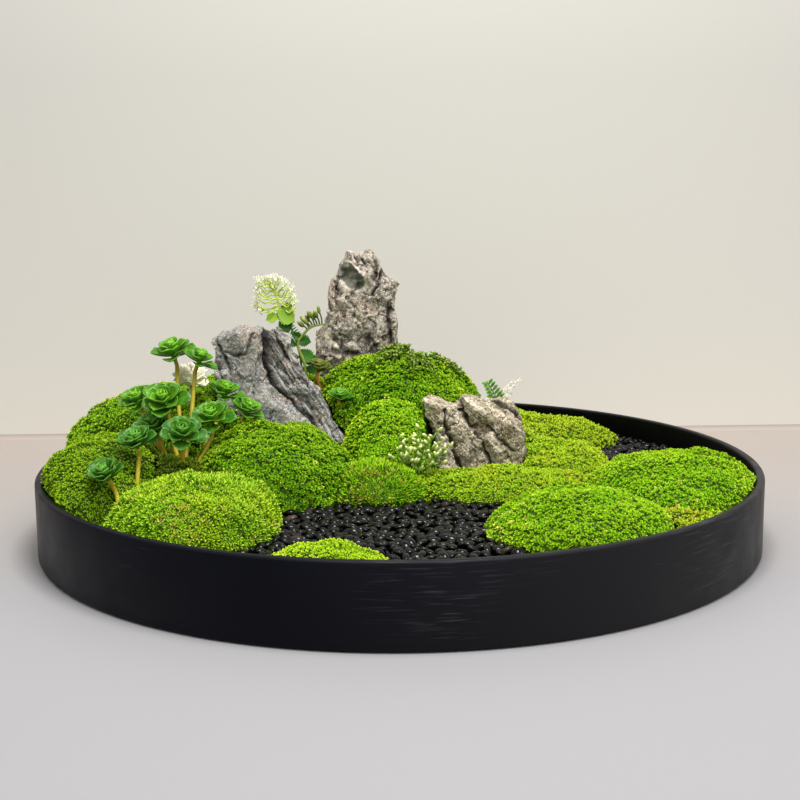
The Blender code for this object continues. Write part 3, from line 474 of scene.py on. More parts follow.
def turned_drum(profile, steps):
    """The profile turned about the Z axis, as a shape."""
    angle = np.arange(steps) / steps * 2 * math.pi
    ring = np.stack([np.cos(angle), np.sin(angle)], 1)
    rows = profile[1:-1]
    points = np.concatenate([np.column_stack([ring * r, np.full(steps, z)]) for r, z in rows])
    points = np.concatenate([points, [(0, 0, profile[0][1]), (0, 0, profile[-1][1])]])
    n = np.arange(steps)
    following = (n + 1) % steps
    triangles = []
    for row in range(len(rows) - 1):
        low, high = row * steps, (row + 1) * steps
        triangles.append(np.stack([low + n, low + following, high + following], 1))
        triangles.append(np.stack([low + n, high + following, high + n], 1))
    last = (len(rows) - 1) * steps
    triangles.append(np.stack([np.full(steps, len(rows) * steps), following, n], 1))
    triangles.append(np.stack([np.full(steps, len(rows) * steps + 1), last + n, last + following], 1))
    return points, np.concatenate(triangles)[:, ::-1], {}


tray = make_piece("black_tray", turned_drum(tray_profile(), 256), tray_finish, "tray")
tray.data.set_sharp_from_angle(angle=math.radians(40))

# %% [markdown]
# ## The foam base
# Dry floral foam carries the hills. Moss hides all but a few gaps of it, so the CAD solid
# stays and only gets its finish: a dull green with the open pores of cut foam.

# %% Foam finish
foam_finish, tree, shader = new_finish("floral_foam", 0.95, 0.2)
pores = mask(tree, 700.0, 0.42, 0.6, 2.0)
wire(tree, blended(tree, pores, colour(26, 44, 14), colour(52, 78, 26)), shader.inputs["Base Color"])
bumped(tree, shader, pores, 0.6, 0.0005)
nodes["foam_base"].data.materials.clear()
nodes["foam_base"].data.materials.append(foam_finish)
print("foam base keeps its", len(nodes["foam_base"].data.polygons), "CAD faces")

# %% [markdown]
# ## Moss: the finish
# Preserved moss is dyed an even green, and whole patches lean to yellow or to brown. Each
# sprig is painted dark at its foot, as the shade deep in the tuft, and bright at its tips,
# partly its own paler tips and partly painted light; the bare skin between sprigs gets a
# dark painted shade. Every sprig carries two numbers: "tip", from 0 at its foot to 1 at
# its tip and higher on the leaves that rise most, which paints light on them, and "tone",
# a chance value of its own, raised on the crests of the swells as painted light. One node
# group turns them into a colour, and each kind of moss gives it its own greens.


# %% Sprig colour group
BLACK = (0, 0, 0, 1)


def sprig_colour():
    """Painted shade at the foot and on the skin, bright tips partly painted light, with patches of a second
    green and a few dry sprigs.
    """
    tree, given, out = effect(
        "sprig_colour",
        {"Foot": BLACK, "Leaf": BLACK, "Tip": BLACK, "Patch": BLACK, "Skin": BLACK, "Dry": BLACK,
         "Patch Scale": 30.0, "Patch Share": 0.5},
        {"Colour": "Color"},
    )
    height = painted_value(tree, "tip")
    tone = painted_value(tree, "tone")
    cloud = made(tree, "TexNoise", {"Detail": 3, "Vector": object_place(tree), "Scale": given["Patch Scale"]})
    share = spread(tree, cloud.outputs[0], 0.38, 0.62, 0.0, given["Patch Share"])
    patch = blended(tree, share, given["Leaf"], given["Patch"])
    # painted shade: the dark foot colour deep in the tuft
    body = blended(tree, spread(tree, height, 0.0, 0.42), given["Foot"], patch)
    # painted shade: the bare skin between the sprigs takes the dark skin shade
    body = blended(tree, spread(tree, height, -0.1, 0.0), given["Skin"], body)
    # bright tips: partly the moss's own paler tips, partly painted light on upright leaves and crests
    lit = both(tree, spread(tree, height, 0.42, 1.0), spread(tree, tone, -0.35, 0.96))
    tipped = blended(tree, lit, body, given["Tip"])
    dry = both(tree, spread(tree, tone, 0.965, 1.0), spread(tree, height, 0.1, 0.6))
    wire(tree, blended(tree, dry, tipped, given["Dry"]), out["Colour"])
    return tree


SPRIG_COLOUR = sprig_colour()
print("sprig colour:", len(SPRIG_COLOUR.nodes), "nodes")


# %% Kinds of moss
def moss_finish(kind, *greens, patch_scale, patch_share):
    """One kind of moss: the shared group with its own greens."""
    values = dict(zip(("Foot", "Leaf", "Tip", "Patch", "Dry"), [colour(*green) for green in greens]))
    # the skin shade is painted shade: half the foot green and a little of the leaf green
    skin = [0.5 * a + 0.13 * b for a, b in zip(values["Foot"][:3], values["Leaf"][:3])]
    values |= {"Skin": (*skin, 1), "Patch Scale": patch_scale, "Patch Share": patch_share}
    material, tree, shader = new_finish(kind + "_moss", 0.7, 0.15)
    placed = made(tree, "Group", values, node_tree=SPRIG_COLOUR)
    wire(tree, placed.outputs["Colour"], shader.inputs["Base Color"])
    bumped(tree, shader, mask(tree, 1400.0, 0.35, 0.65, 2.0), 0.3, 0.0003)
    return material


# size and share of the patches; greens of the foot, leaf, tip, patch and dry sprigs; the dark
# foot green is painted shade and the bright tip green partly painted light
MOSS_GREENS = {
    "ball": (45, 0.7, (14, 36, 0), (108, 164, 4), (228, 240, 60), (80, 146, 2), (220, 228, 90)),
    "lime": (28, 0.8, (26, 56, 0), (138, 188, 6), (232, 244, 66), (112, 182, 4), (222, 220, 90)),
    "bright": (26, 0.7, (40, 70, 0), (158, 200, 14), (238, 248, 76), (168, 206, 18), (222, 220, 90)),
    "feather": (22, 0.7, (38, 66, 2), (148, 188, 16), (232, 242, 86), (102, 172, 6), (200, 172, 80)),
    "fine": (16, 0.9, (20, 42, 0), (108, 154, 6), (206, 226, 46), (146, 188, 16), (190, 196, 72)),
    "olive": (26, 0.8, (30, 54, 2), (134, 178, 10), (222, 238, 70), (164, 186, 24), (194, 166, 66)),
    "dark": (40, 0.8, (18, 32, 0), (88, 124, 16), (182, 200, 60), (112, 128, 24), (150, 132, 60)),
    "grass": (50, 0.7, (24, 54, 0), (122, 184, 10), (226, 244, 62), (142, 194, 16), (196, 176, 80)),
}
MOSS = {kind: moss_finish(kind, *greens, patch_scale=scale, patch_share=share)
        for kind, (scale, share, *greens) in MOSS_GREENS.items()}
print("kinds of moss:", list(MOSS))

# %% [markdown]
# ## Moss: the sprigs
# A sprig is a small tuft of leaves round one foot. Real leaves are needed here, because
# moss shows its rough edge against the wall behind. A hair system would look alike but
# leaves no mesh, so each kind has four sprig patterns of kite-shaped leaves, two triangles
# a leaf, and copies of them are turned, tilted and sized at random.


# %% Sprig patterns
GOLDEN_ANGLE = 2.39996
PATTERN_COUNT = 4


def sprig_pattern(seed, leaves, length, width, low, high, bend, stalk):
    """Points, triangles and tip heights of one sprig with its foot at the origin, where leaves that rise
    higher get higher tip heights as painted light.
    """
    draw = random.Random(seed)
    points, triangles, tips = [], [], []
    for number in range(leaves):
        share = (number + 0.5) / leaves
        yaw = number * GOLDEN_ANGLE + draw.uniform(-0.3, 0.3)
        rise = math.radians(low + (high - low) * share + draw.uniform(-8, 8))
        out = Vector((math.cos(yaw), math.sin(yaw), 0))
        across = Vector((-math.sin(yaw), math.cos(yaw), 0))
        size = length * draw.uniform(0.8, 1.15)
        way = out * math.cos(rise) + Vector((0, 0, math.sin(rise)))
        foot = out * 0.06 * length + Vector((0, 0, stalk))
        middle = foot + way * size * 0.55 + Vector((0, 0, bend * 0.5 * size))
        tip = foot + way * size - Vector((0, 0, bend * size * (1 - share)))
        start = len(points)
        points += [foot, middle + across * width / 2, tip, middle - across * width / 2]
        triangles += [(start, start + 1, start + 2), (start, start + 2, start + 3)]
        # painted light: leaves that rise higher get higher tip marks and so come out brighter
        tips += [0.05 + 0.25 * share, 0.25 + 0.45 * share, 0.45 + 0.55 * share, 0.25 + 0.45 * share]
    return np.array(points), np.array(triangles), np.array(tips)


# leaves, length, width, lowest and highest rise in degrees, bend, stalk
SPRIGS = {
    "ball": (10, 2.0, 1.5, -15, 85, 0.05, 1.1),
    "lime": (9, 1.8, 1.25, -10, 85, 0.05, 0.9),
    "bright": (9, 1.8, 1.25, -10, 85, 0.05, 0.9),
    "feather": (8, 3.0, 1.0, 0, 80, 0.15, 0.8),
    "fine": (7, 1.5, 1.0, 0, 80, 0.08, 0.7),
    "olive": (8, 2.3, 1.15, 0, 80, 0.12, 0.8),
    "dark": (7, 3.2, 0.9, 5, 80, 0.20, 0.8),
    "grass": (8, 4.4, 0.8, 25, 85, 0.20, 0.5),
}
PATTERNS = {
    kind: [sprig_pattern(seed, count, length * MM, width * MM, low, high, bend, stalk * MM)
           for seed in range(PATTERN_COUNT)]
    for kind, (count, length, width, low, high, bend, stalk) in SPRIGS.items()
}
print("sprig patterns:", {kind: len(found[0][1]) for kind, found in PATTERNS.items()})

# %% [markdown]
# ## Moss: the skin of each cushion
# The CAD cushion is a dome of large flat faces. A voxel remesh and a smooth turn it into
# an even skin, and noise at two sizes gives it the swells that grown moss has. Sprigs
# only stand where the skin is open to the air, which a ray to the neighbours tells.


# %% Solids to look at
def tree_of(kinds, besides=""):
    """A ray-casting tree over the CAD nodes of some kinds."""
    points, faces = [], []
    for name, item in nodes.items():
        if name.split("_")[0] in kinds and name != besides:
            start = len(points)
            points += [vertex.co.copy() for vertex in item.data.vertices]
            faces += [[start + corner for corner in face.vertices] for face in item.data.polygons]
    return BVHTree.FromPolygons(points, faces)


def remeshed(name, voxel, rounds):
    """A CAD node as an even mesh: its points, normals and triangles."""
    copy = bpy.data.objects.new(name + "_even", nodes[name].data.copy())
    bpy.context.scene.collection.objects.link(copy)
    even = copy.modifiers.new("even", "REMESH")
    even.mode = "VOXEL"
    even.voxel_size = voxel
    soft = copy.modifiers.new("soft", "SMOOTH")
    soft.factor = 0.5
    soft.iterations = rounds
    graph = bpy.context.evaluated_depsgraph_get()
    mesh = bpy.data.meshes.new_from_object(copy.evaluated_get(graph), depsgraph=graph)
    bpy.data.objects.remove(copy)
    mesh.calc_loop_triangles()
    points, normals = np.zeros((2, 3 * len(mesh.vertices)))
    triangles = np.zeros(3 * len(mesh.loop_triangles), dtype=np.int32)
    mesh.vertices.foreach_get("co", points)
    mesh.vertex_normals.foreach_get("vector", normals)
    mesh.loop_triangles.foreach_get("vertices", triangles)
    bpy.data.meshes.remove(mesh)
    return points.reshape(-1, 3), normals.reshape(-1, 3), triangles.reshape(-1, 3)


def swells(points, seed, sizes):
    """Noise at each point, as the sum of (size in mm, height in mm) waves."""
    total = np.zeros(len(points))
    for number, (size, height) in enumerate(sizes):
        shift = Vector((seed * 3.1, number * 7.7, 0))
        total += [height * MM * noise.noise(Vector(p) / (size * MM) + shift) for p in points]
    return total


# %% Spread feet evenly
def evenly_spread(points, gap):
    """Indices of points, in their order, that keep a gap from all chosen before."""
    cells = {}
    chosen = []
    keys = np.floor(points / gap).astype(int)
    limit = gap * gap
    steps = [(i, j, k) for i in (-1, 0, 1) for j in (-1, 0, 1) for k in (-1, 0, 1)]
    for number, (x, y, z) in enumerate(keys.tolist()):
        px, py, pz = points[number]
        for i, j, k in steps:
            other = cells.get((x + i, y + j, z + k))
            if other is not None:
                qx, qy, qz = other
                if (px - qx) ** 2 + (py - qy) ** 2 + (pz - qz) ** 2 < limit:
                    break
        else:
            cells[(x, y, z)] = (px, py, pz)
            chosen.append(number)
    return np.array(chosen, dtype=int)


row_of_points = np.outer(np.arange(100), (1.0, 0.0, 0.0))
print("of 100 points in a row, a gap of 5 keeps", len(evenly_spread(row_of_points, 5)))


# %% Which skin is open to the air
def open_to_air(point, normal, neighbours):
    """Whether no neighbour stands right in front of the skin or right above it."""
    NEAR, ABOVE = 4.5 * MM, 60 * MM
    start = Vector(point) + Vector(normal) * 0.2 * MM
    if neighbours.ray_cast(start, Vector(normal), NEAR)[0] is not None:
        return False
    return neighbours.ray_cast(start, Vector((0.0, 0.0, 1.0)), ABOVE)[0] is None


# %% Room for sprigs inside the tray
INNER_WALL = 292.2 * MM
RIM_TOP = 61.8 * MM


def inside_wall(points):
    """Points below the rim kept inside the tray's wall."""
    reach = np.hypot(points[:, 0], points[:, 1])
    out = (reach > INNER_WALL) & (points[:, 2] < RIM_TOP)
    points[out, :2] *= (INNER_WALL / reach[out])[:, None]
    return points


# %% Sprigs on their feet
def planted(kind, feet, ways, tones, draw, size):
    """Sprigs of one kind on their feet, as one shape."""
    shapes = []
    which = draw.integers(0, PATTERN_COUNT, len(feet))
    for pattern in range(PATTERN_COUNT):
        here = which == pattern
        if not here.any():
            continue
        points, triangles, tips = PATTERNS[kind][pattern]
        count = int(here.sum())
        axis = ways[here]
        yaw = draw.uniform(0, 2 * math.pi, count)
        first = np.cross(axis, (0.93, 0.3, 0.2))
        first /= np.linalg.norm(first, axis=1)[:, None]
        second = np.cross(axis, first)
        x_way = first * np.cos(yaw)[:, None] + second * np.sin(yaw)[:, None]
        y_way = np.cross(axis, x_way)
        scale = size * draw.uniform(0.75, 1.25, count)
        local = points[None, :, :] * scale[:, None, None]
        world_points = (feet[here][:, None, :] + local[..., :1] * x_way[:, None, :]
                        + local[..., 1:2] * y_way[:, None, :] + local[..., 2:] * axis[:, None, :])
        steps = np.arange(count)[:, None, None] * len(points)
        marks = {"tip": np.tile(tips, count), "tone": tones[here].repeat(len(points))}
        shapes.append((world_points.reshape(-1, 3), (triangles[None] + steps).reshape(-1, 3), marks))
    return stacked(shapes)


# %% Fresh and dry sprigs
# x, y and reach of each dry spot in millimetres, and the share of dry sprigs in it
DRY_SPOTS = [
    (66, -192, 20, 0.6), (-150, -216, 12, 0.5), (-30, -92, 15, 0.6), (200, -170, 24, 0.5),
    (152, -60, 24, 0.35), (-12, -84, 12, 0.4), (118, 96, 26, 0.25), (275, -100, 14, 0.3),
]


def sprig_tones(feet, crest_light, draw):
    """A chance value for each sprig, raised on the tops of the swells as painted light, and near 1 if it is a
    dry one.
    """
    FRESH_LIMIT, DRY_ANYWHERE = 0.96, 0.02
    # painted light: part of the tone comes from the swell height, so sprigs on crests get brighter tips
    tones = FRESH_LIMIT * (0.6 * draw.uniform(0, 1, len(feet)) + 0.4 * crest_light)
    dry = draw.uniform(0, 1, len(feet)) < DRY_ANYWHERE
    for x, y, reach, share in DRY_SPOTS:
        away = np.hypot(feet[:, 0] / MM - x, feet[:, 1] / MM - y) / reach
        dry |= draw.uniform(0, 1, len(feet)) < share * np.exp(-(away ** 2))
    tones[dry] = draw.uniform(0.97, 1.0, int(dry.sum()))
    return tones


# %% Plant a cushion
def moss_cushion(name, kind, gap, size):
    """One cushion: its skin, and sprigs wherever it is open to the air."""
    VOXEL, SUNK, FOOT_IN_SKIN, UPWARD, LEAN = 4.2 * MM, 0.6 * MM, 0.3 * MM, 0.35, 0.25
    TRIES_PER_SPRIG = 8
    seed = sorted(moss_nodes).index(name)
    draw = np.random.default_rng(100 + seed)
    points, normals, triangles = remeshed(name, VOXEL, 6)
    swell = swells(points, seed, ((25, 4.2), (11, 2.6)))
    points = inside_wall(points + normals * (swell - SUNK)[:, None])
    # how high the skin swells here, used to paint light on the crests
    crest_light = np.clip(0.5 + swell / (3.6 * MM), 0, 1)
    neighbours = tree_of(("moss", "stone", "tray", "foam", "pebbles"), besides=name)
    corners = points[triangles]
    facing = np.cross(corners[:, 1] - corners[:, 0], corners[:, 2] - corners[:, 0])
    double = np.linalg.norm(facing, axis=1)
    facing /= np.maximum(double, 1e-12)[:, None]
    free = np.array([open_to_air(p, n, neighbours) for p, n in zip(corners.mean(1), facing)])
    # the skin's tip mark of -0.1 gives it the painted skin shade between the sprigs
    skin = (points, triangles, {"tip": np.full(len(points), -0.1), "tone": np.full(len(points), 0.5)})
    areas = np.where(free, double / 2, 0)
    tries = int(areas.sum() / (gap * MM) ** 2 * TRIES_PER_SPRIG)
    picked = draw.choice(len(areas), size=tries, p=areas / areas.sum())
    weights = draw.dirichlet((1, 1, 1), tries)
    kept = evenly_spread((corners[picked] * weights[:, :, None]).sum(1), gap * MM)
    picked, weights = triangles[picked[kept]], weights[kept]
    feet = (points[picked] * weights[:, :, None]).sum(1)
    ways = (normals[picked] * weights[:, :, None]).sum(1)
    ways = ways + (0, 0, UPWARD) + draw.normal(0, LEAN, ways.shape)
    ways /= np.linalg.norm(ways, axis=1)[:, None]
    tones = sprig_tones(feet, (crest_light[picked] * weights).sum(1), draw)
    points, triangles, marks = planted(kind, feet - ways * FOOT_IN_SKIN, ways, tones, draw, size)
    shape = stacked([skin, (inside_wall(points), triangles, marks)])
    return make_piece("sprigs_of_" + name, shape, MOSS[kind], name, flat=True)


# %% Plant every cushion
# kind, gap between feet in mm, size
PLANTING = {
    "moss_front_left": ("feather", 2.6, 1.13),
    "moss_centre_left": ("ball", 2.7, 1.22),
    "moss_front_right": ("lime", 2.5, 1.19),
    "moss_right": ("lime", 2.4, 1.13),
    "moss_small_front": ("bright", 2.3, 1.13),
    "moss_centre": ("lime", 2.5, 1.3),
    "moss_summit": ("ball", 2.8, 1.36),
    "moss_left": ("fine", 2.2, 1.24),
    "moss_stem_bed": ("dark", 2.6, 1.13),
    "moss_left_back": ("ball", 3.0, 1.3),
    "moss_saddle": ("lime", 2.9, 1.36),
    "moss_grass": ("grass", 2.6, 1.13),
    "moss_mat": ("olive", 2.5, 1.13),
    "moss_mat_right": ("olive", 2.5, 1.13),
    "moss_right_back": ("olive", 2.8, 1.24),
    "moss_sparse": ("olive", 2.8, 1.24),
    "moss_behind_stone": ("olive", 2.8, 1.24),
    "moss_back": ("lime", 3.2, 1.47),
    "moss_back_left": ("ball", 3.3, 1.47),
    "moss_back_right": ("olive", 3.2, 1.47),
}
leaves_of_moss = 0
for name in sorted(moss_nodes):
    kind, gap, size = PLANTING[name]
    leaves_of_moss += len(moss_cushion(name, kind, gap, size).data.polygons)
print("moss faces in all:", leaves_of_moss)

# %% [markdown]
# ## The stones: the finish
# The stones are weathered limestone: grey with brown and pink stains and pale ridges,
# partly worn rock and partly painted highlight. The near-black seams in the clefts and
# where water ate the soft layers are painted shade, as are the hollows. A node group lays
# these down from the relief that the mesh carries, so colour and shape agree with each other.


# %% Rock colour group
def rock_colour():
    """Stained base, streaks along the layers, pale edges partly as painted highlight, and painted shade in
    the hollows, the seams and the bowl.
    """
    tree, given, out = effect(
        "rock_colour",
        {"Base": BLACK, "Second": BLACK, "Stain": BLACK, "Pale": BLACK, "Dark": BLACK, "Bowl Shade": BLACK,
         "Streaks": 0.5, "Mottle": 0.5},
        {"Colour": "Color", "Height": "Float"},
    )
    layered = made(tree, "CombineXYZ", {axis: painted_value(tree, label)
                                        for axis, label in enumerate(("across", "along", "depth"))})
    streak = made(tree, "TexNoise", {"Scale": 300, "Detail": 3, "Roughness": 0.55, "Distortion": 0.5,
                                     "Vector": layered.outputs[0]}).outputs[0]
    relief, bowl = painted_value(tree, "relief"), painted_value(tree, "bowl")
    pale_specks = both(tree, mask(tree, 340, 0.47, 0.62, 5), given["Mottle"])
    dark_specks = both(tree, mask(tree, 380, 0.48, 0.36, 5), given["Mottle"])
    lines = both(tree, painted_value(tree, "bedding"), given["Streaks"])
    pale_lines = both(tree, spread(tree, streak, 0.56, 0.66), lines)
    below, above = spread(tree, streak, 0.45, 0.485), spread(tree, streak, 0.52, 0.485)
    dark_lines = both(tree, both(tree, below, above), lines)
    # pale edges on the ridges: partly worn rock, partly painted highlight
    edge = both(tree, spread(tree, relief, 0.56, 0.95), mask(tree, 120, 0.38, 0.6, 4))
    # painted highlight: a pale ring round the rim of the bowl
    rim = both(tree, spread(tree, bowl, 0.1, 0.24), spread(tree, bowl, 0.42, 0.28))
    body = given["Base"]
    for share, label in (
        (mask(tree, 34, 0.44, 0.56, 4, 0.4), "Second"),
        (mask(tree, 60, 0.52, 0.62, 5, 0.6), "Stain"),
        (pale_specks, "Pale"),
        (dark_specks, "Dark"),
        (pale_lines, "Pale"),
        (dark_lines, "Dark"),
        (both(tree, edge, 0.8), "Pale"),
        # painted shade: dark where the surface lies below its neighbours
        (both(tree, spread(tree, relief, 0.44, 0.08), 0.8), "Dark"),
        (both(tree, rim, 0.75), "Pale"),
        (mask(tree, 760, 0.58, 0.68, 2), "Pale"),
        # painted shade: the bowl in a plain darker grey-green
        (both(tree, spread(tree, bowl, 0.3, 0.5), 0.85), "Bowl Shade"),
        # painted shade: the seams darkened in the clefts, between the layers and in the hollows
        (painted_value(tree, "seam_shade"), "Dark"),
    ):
        body = blended(tree, share, body, given[label])
    wire(tree, body, out["Colour"])
    wire(tree, blended(tree, 0.5, mask(tree, 520, 0.3, 0.7, 4), streak), out["Height"])
    return tree


ROCK_COLOUR = rock_colour()
print("rock colour:", len(ROCK_COLOUR.nodes), "nodes")


# %% Kinds of rock
def rock_finish(name, streaks, mottle, *tones):
    """One kind of rock: the shared group with its own colours."""
    labels = ("Base", "Second", "Stain", "Pale", "Dark", "Bowl Shade")
    values = dict(zip(labels, [colour(*tone) for tone in tones]), Streaks=streaks, Mottle=mottle)
    material, tree, shader = new_finish(name, 0.78, 0.3)
    placed = made(tree, "Group", values, node_tree=ROCK_COLOUR)
    wire(tree, placed.outputs["Colour"], shader.inputs["Base Color"])
    bumped(tree, shader, placed.outputs["Height"], 0.7, 0.0008)
    return material


# strength of streaks and of mottle; base, second, stain, pale and dark colours, and the colour
# of the bowl's painted shade
ROCKS = {
    "stone_left": rock_finish("grey_rock", 0.9, 0.26, (126, 124, 116), (110, 111, 109), (136, 120, 106),
                              (198, 195, 187), (30, 26, 26), (96, 92, 102)),
    "stone_tall": rock_finish("brown_rock", 0.35, 0.42, (142, 129, 112), (118, 111, 101), (122, 101, 80),
                              (218, 208, 192), (44, 38, 33), (88, 90, 77)),
    "stone_right": rock_finish("khaki_rock", 0.7, 0.45, (158, 145, 120), (136, 124, 101), (128, 109, 84),
                               (228, 217, 194), (38, 31, 26), (110, 100, 84)),
}
print("kinds of rock:", [material.name for material in ROCKS.values()])

# %% [markdown]
# ## The stones: the shape
# The CAD stones have the right slabs and outline, but large flat faces. Each is remeshed
# at just over a millimetre and pushed in and out along its normals: crags, layers whose
# edges stand out in steps, small pits, and the few deep clefts that the photograph shows.


# %% Noise and chips
def noise_at(points, size, shift):
    """Noise of a size in millimetres at each point, about -1 to 1."""
    grid = points / MM / np.array(size) + np.array(shift)
    values = np.array([noise.noise(p) for p in grid.tolist()])
    return (values - values.mean()) / (2.4 * values.std())


def chipped(points, size, seed):
    """Flat chips of a size in millimetres: each cell has a level and a tilt of its own."""
    draw = np.random.default_rng(seed)
    grid = points / MM / size
    bent = [noise_at(points, size * 0.7, (4.1 * axis, seed, 0)) for axis in range(3)]
    grid = grid + 0.22 * np.column_stack(bent)
    span = np.ptp(grid, axis=0)
    spots = grid.min(0) + draw.uniform(0, 1, (int(np.prod(span)) + 12, 3)) * span
    level, tilt = draw.uniform(-0.6, 0.6, len(spots)), draw.normal(0, 0.7, spots.shape)
    finder = KDTree(len(spots))
    for number, spot in enumerate(spots):
        finder.insert(spot, number)
    finder.balance()
    cell = np.array([finder.find(p)[1] for p in grid.tolist()])
    return level[cell] + ((grid - spots[cell]) * tilt[cell]).sum(1)


# %% Layers of the rock
def along_layers(points, direction):
    """Points in a frame whose first axis crosses the layers of the rock."""
    across = Vector(direction).normalized()
    along = Vector((-across.z, 0, across.x)).normalized()
    return points @ np.array([across, along, across.cross(along)]).T


def bedded(turned, thick, seed):
    """Layers of a thickness in millimetres that step in and out, and the gaps between."""
    draw = np.random.default_rng(seed + 50)
    place = turned[:, 0] / MM / thick
    place = place + 0.9 * noise_at(turned, (14, 30, 20), (seed, 0, 0))
    place = place + 0.35 * noise_at(turned, (5, 12, 8), (0, seed, 0))
    layer = np.floor(place).astype(int)
    step = draw.uniform(-1, 1, 400)[layer % 400]
    away = np.minimum(place - layer, 1 - (place - layer))
    return step, np.exp(-((away / 0.17) ** 2))


# %% Clefts, bosses and hollows
def cleft_depth(points, clefts):
    """How deep each point lies in the clefts, in mm, and how much of it is in shade."""
    flat = points[:, [0, 2]] / MM
    flat = flat + 1.3 * np.column_stack([noise_at(points, 6, (0, 0, 0)), noise_at(points, 6, (9, 0, 0))])
    deep, shade = np.zeros(len(points)), np.zeros(len(points))
    for wide, depth, path in clefts:
        for start, end in zip(path, path[1:]):
            start, end = np.array(start, float), np.array(end, float)
            way = end - start
            t = np.clip((flat - start) @ way / (way @ way), 0, 1)
            far = np.linalg.norm(flat - start - t[:, None] * way, axis=1)
            near = np.exp(-((far / wide) ** 2))
            deep = np.maximum(deep, depth * near)
            shade = np.maximum(shade, min(1, 0.35 + depth / 4) * near ** 0.8)
    return deep, shade


def carved(points, forms):
    """The height of large bosses, or depth of hollows, at each point, in mm."""
    flat = points[:, [0, 2]] / MM
    total = np.zeros(len(points))
    for x, z, reach_x, reach_z, height in forms:
        away = ((flat[:, 0] - x) / reach_x) ** 2 + ((flat[:, 1] - z) / reach_z) ** 2
        total += height * np.exp(-(away ** 2.2))
    return total


# %% A second slab
def second_slab(points, fold, strength):
    """The left stone's rear slab: its layers, their colour, and the step at its edge, with painted shade."""
    fold = np.array(fold)[::-1]
    height = points[:, 2] / MM
    past = points[:, 0] / MM - np.interp(height, fold[:, 1], fold[:, 0])
    past = past + 0.8 * noise_at(points, 5, (0, 7, 0))
    wide = np.interp(height, (85, 125, 165), (1.2, 2.6, 4.5))
    behind = np.where(past > -0.3, np.exp(-np.clip(past, 0, None) / wide), 0)
    return np.where(past > 0, strength, 0.1 * strength), np.where(past > 0, 1.0, 0.25), behind


# %% Push the skin in and out
def levelled(values, triangles, rounds):
    """Values averaged with their neighbours over the mesh, several times."""
    ends = np.concatenate([triangles[:, [0, 1]], triangles[:, [1, 2]], triangles[:, [2, 0]]])
    count = np.maximum(np.bincount(ends[:, 0], minlength=len(values)), 1)
    for step in range(rounds):
        total = np.bincount(ends[:, 0], weights=values[ends[:, 1]], minlength=len(values))
        values = 0.4 * values + 0.6 * total / count
    return values


# one smooth hollow or facet for each stone, painted in shade with a pale painted rim;
# the right one has none, so its path is off it
BOWLS = {
    "stone_left": (4.5, 1.0, ((-93, 154), (-88, 143))),
    "stone_tall": (6.8, 3.0, ((-50, 215), (-38, 205))),
    "stone_right": (1.0, 1.0, ((0, 0), (1, 0))),
}


def weathered(name, seed, chips, layers, direction, pitted, clefts, forms):
    """A stone's even skin pushed in and out, with its relief and its layers as marks."""
    points, normals, triangles = remeshed(name, 1.05 * MM, 1)
    turned = along_layers(points, direction)
    thick, strength = layers
    beds, bedding = np.full(len(points), strength), np.ones(len(points))
    deep, shade = cleft_depth(points, clefts)
    if name == "stone_left":  # its first cleft is the fold between its two slabs
        beds, bedding, behind = second_slab(points, clefts[0][2], strength)
        # painted shade: the step behind the front slab is darkened as well as pushed in
        deep, shade = np.maximum(deep, 4.5 * behind), np.maximum(shade, np.clip(1.5 * behind ** 0.6, 0, 1))
    step, gaps = bedded(turned, thick, seed)
    push = beds * (0.5 * step - 0.9 * gaps)
    for number, (size, height) in enumerate(chips):
        push = push + height * chipped(points, size, 10 * seed + number)
    holes = np.clip(noise_at(points, 4.5, (0, seed, 0)) - 0.5, 0, 0.4)
    push = push + 0.22 * noise_at(points, 3.4, (seed, 0, 0)) + 0.2 * noise_at(points, 1.8, (seed, 4, 0))
    push = np.clip(push - pitted * holes, -2.2, 1.6)
    front = np.clip(-normals[:, 1] * 2 + 0.6, 0, 1)
    relief = np.clip(0.5 + 0.6 * (push - levelled(push, triangles, 14)), 0, 1)
    form = carved(points, forms)
    points = points + normals * ((push + front * (form - deep) - 0.3) * MM)[:, None]
    print(name, "pushed by", round(push.min(), 1), "to", round(push.max(), 1), "mm")
    # painted shade in the clefts, in the gaps between layers and in the carved hollows
    seam_shade = np.maximum(shade * front, np.clip(beds, 0, 1) * 0.45 * gaps)
    seam_shade = np.clip(np.maximum(seam_shade, -0.05 * form), 0, 1)
    bowl = cleft_depth(points, [BOWLS[name]])[1] * front
    return points, triangles, {"relief": relief, "seam_shade": seam_shade, "bowl": bowl, "bedding": bedding,
                               "across": turned[:, 0], "along": turned[:, 1] * 0.09,
                               "depth": turned[:, 2] * 0.3}


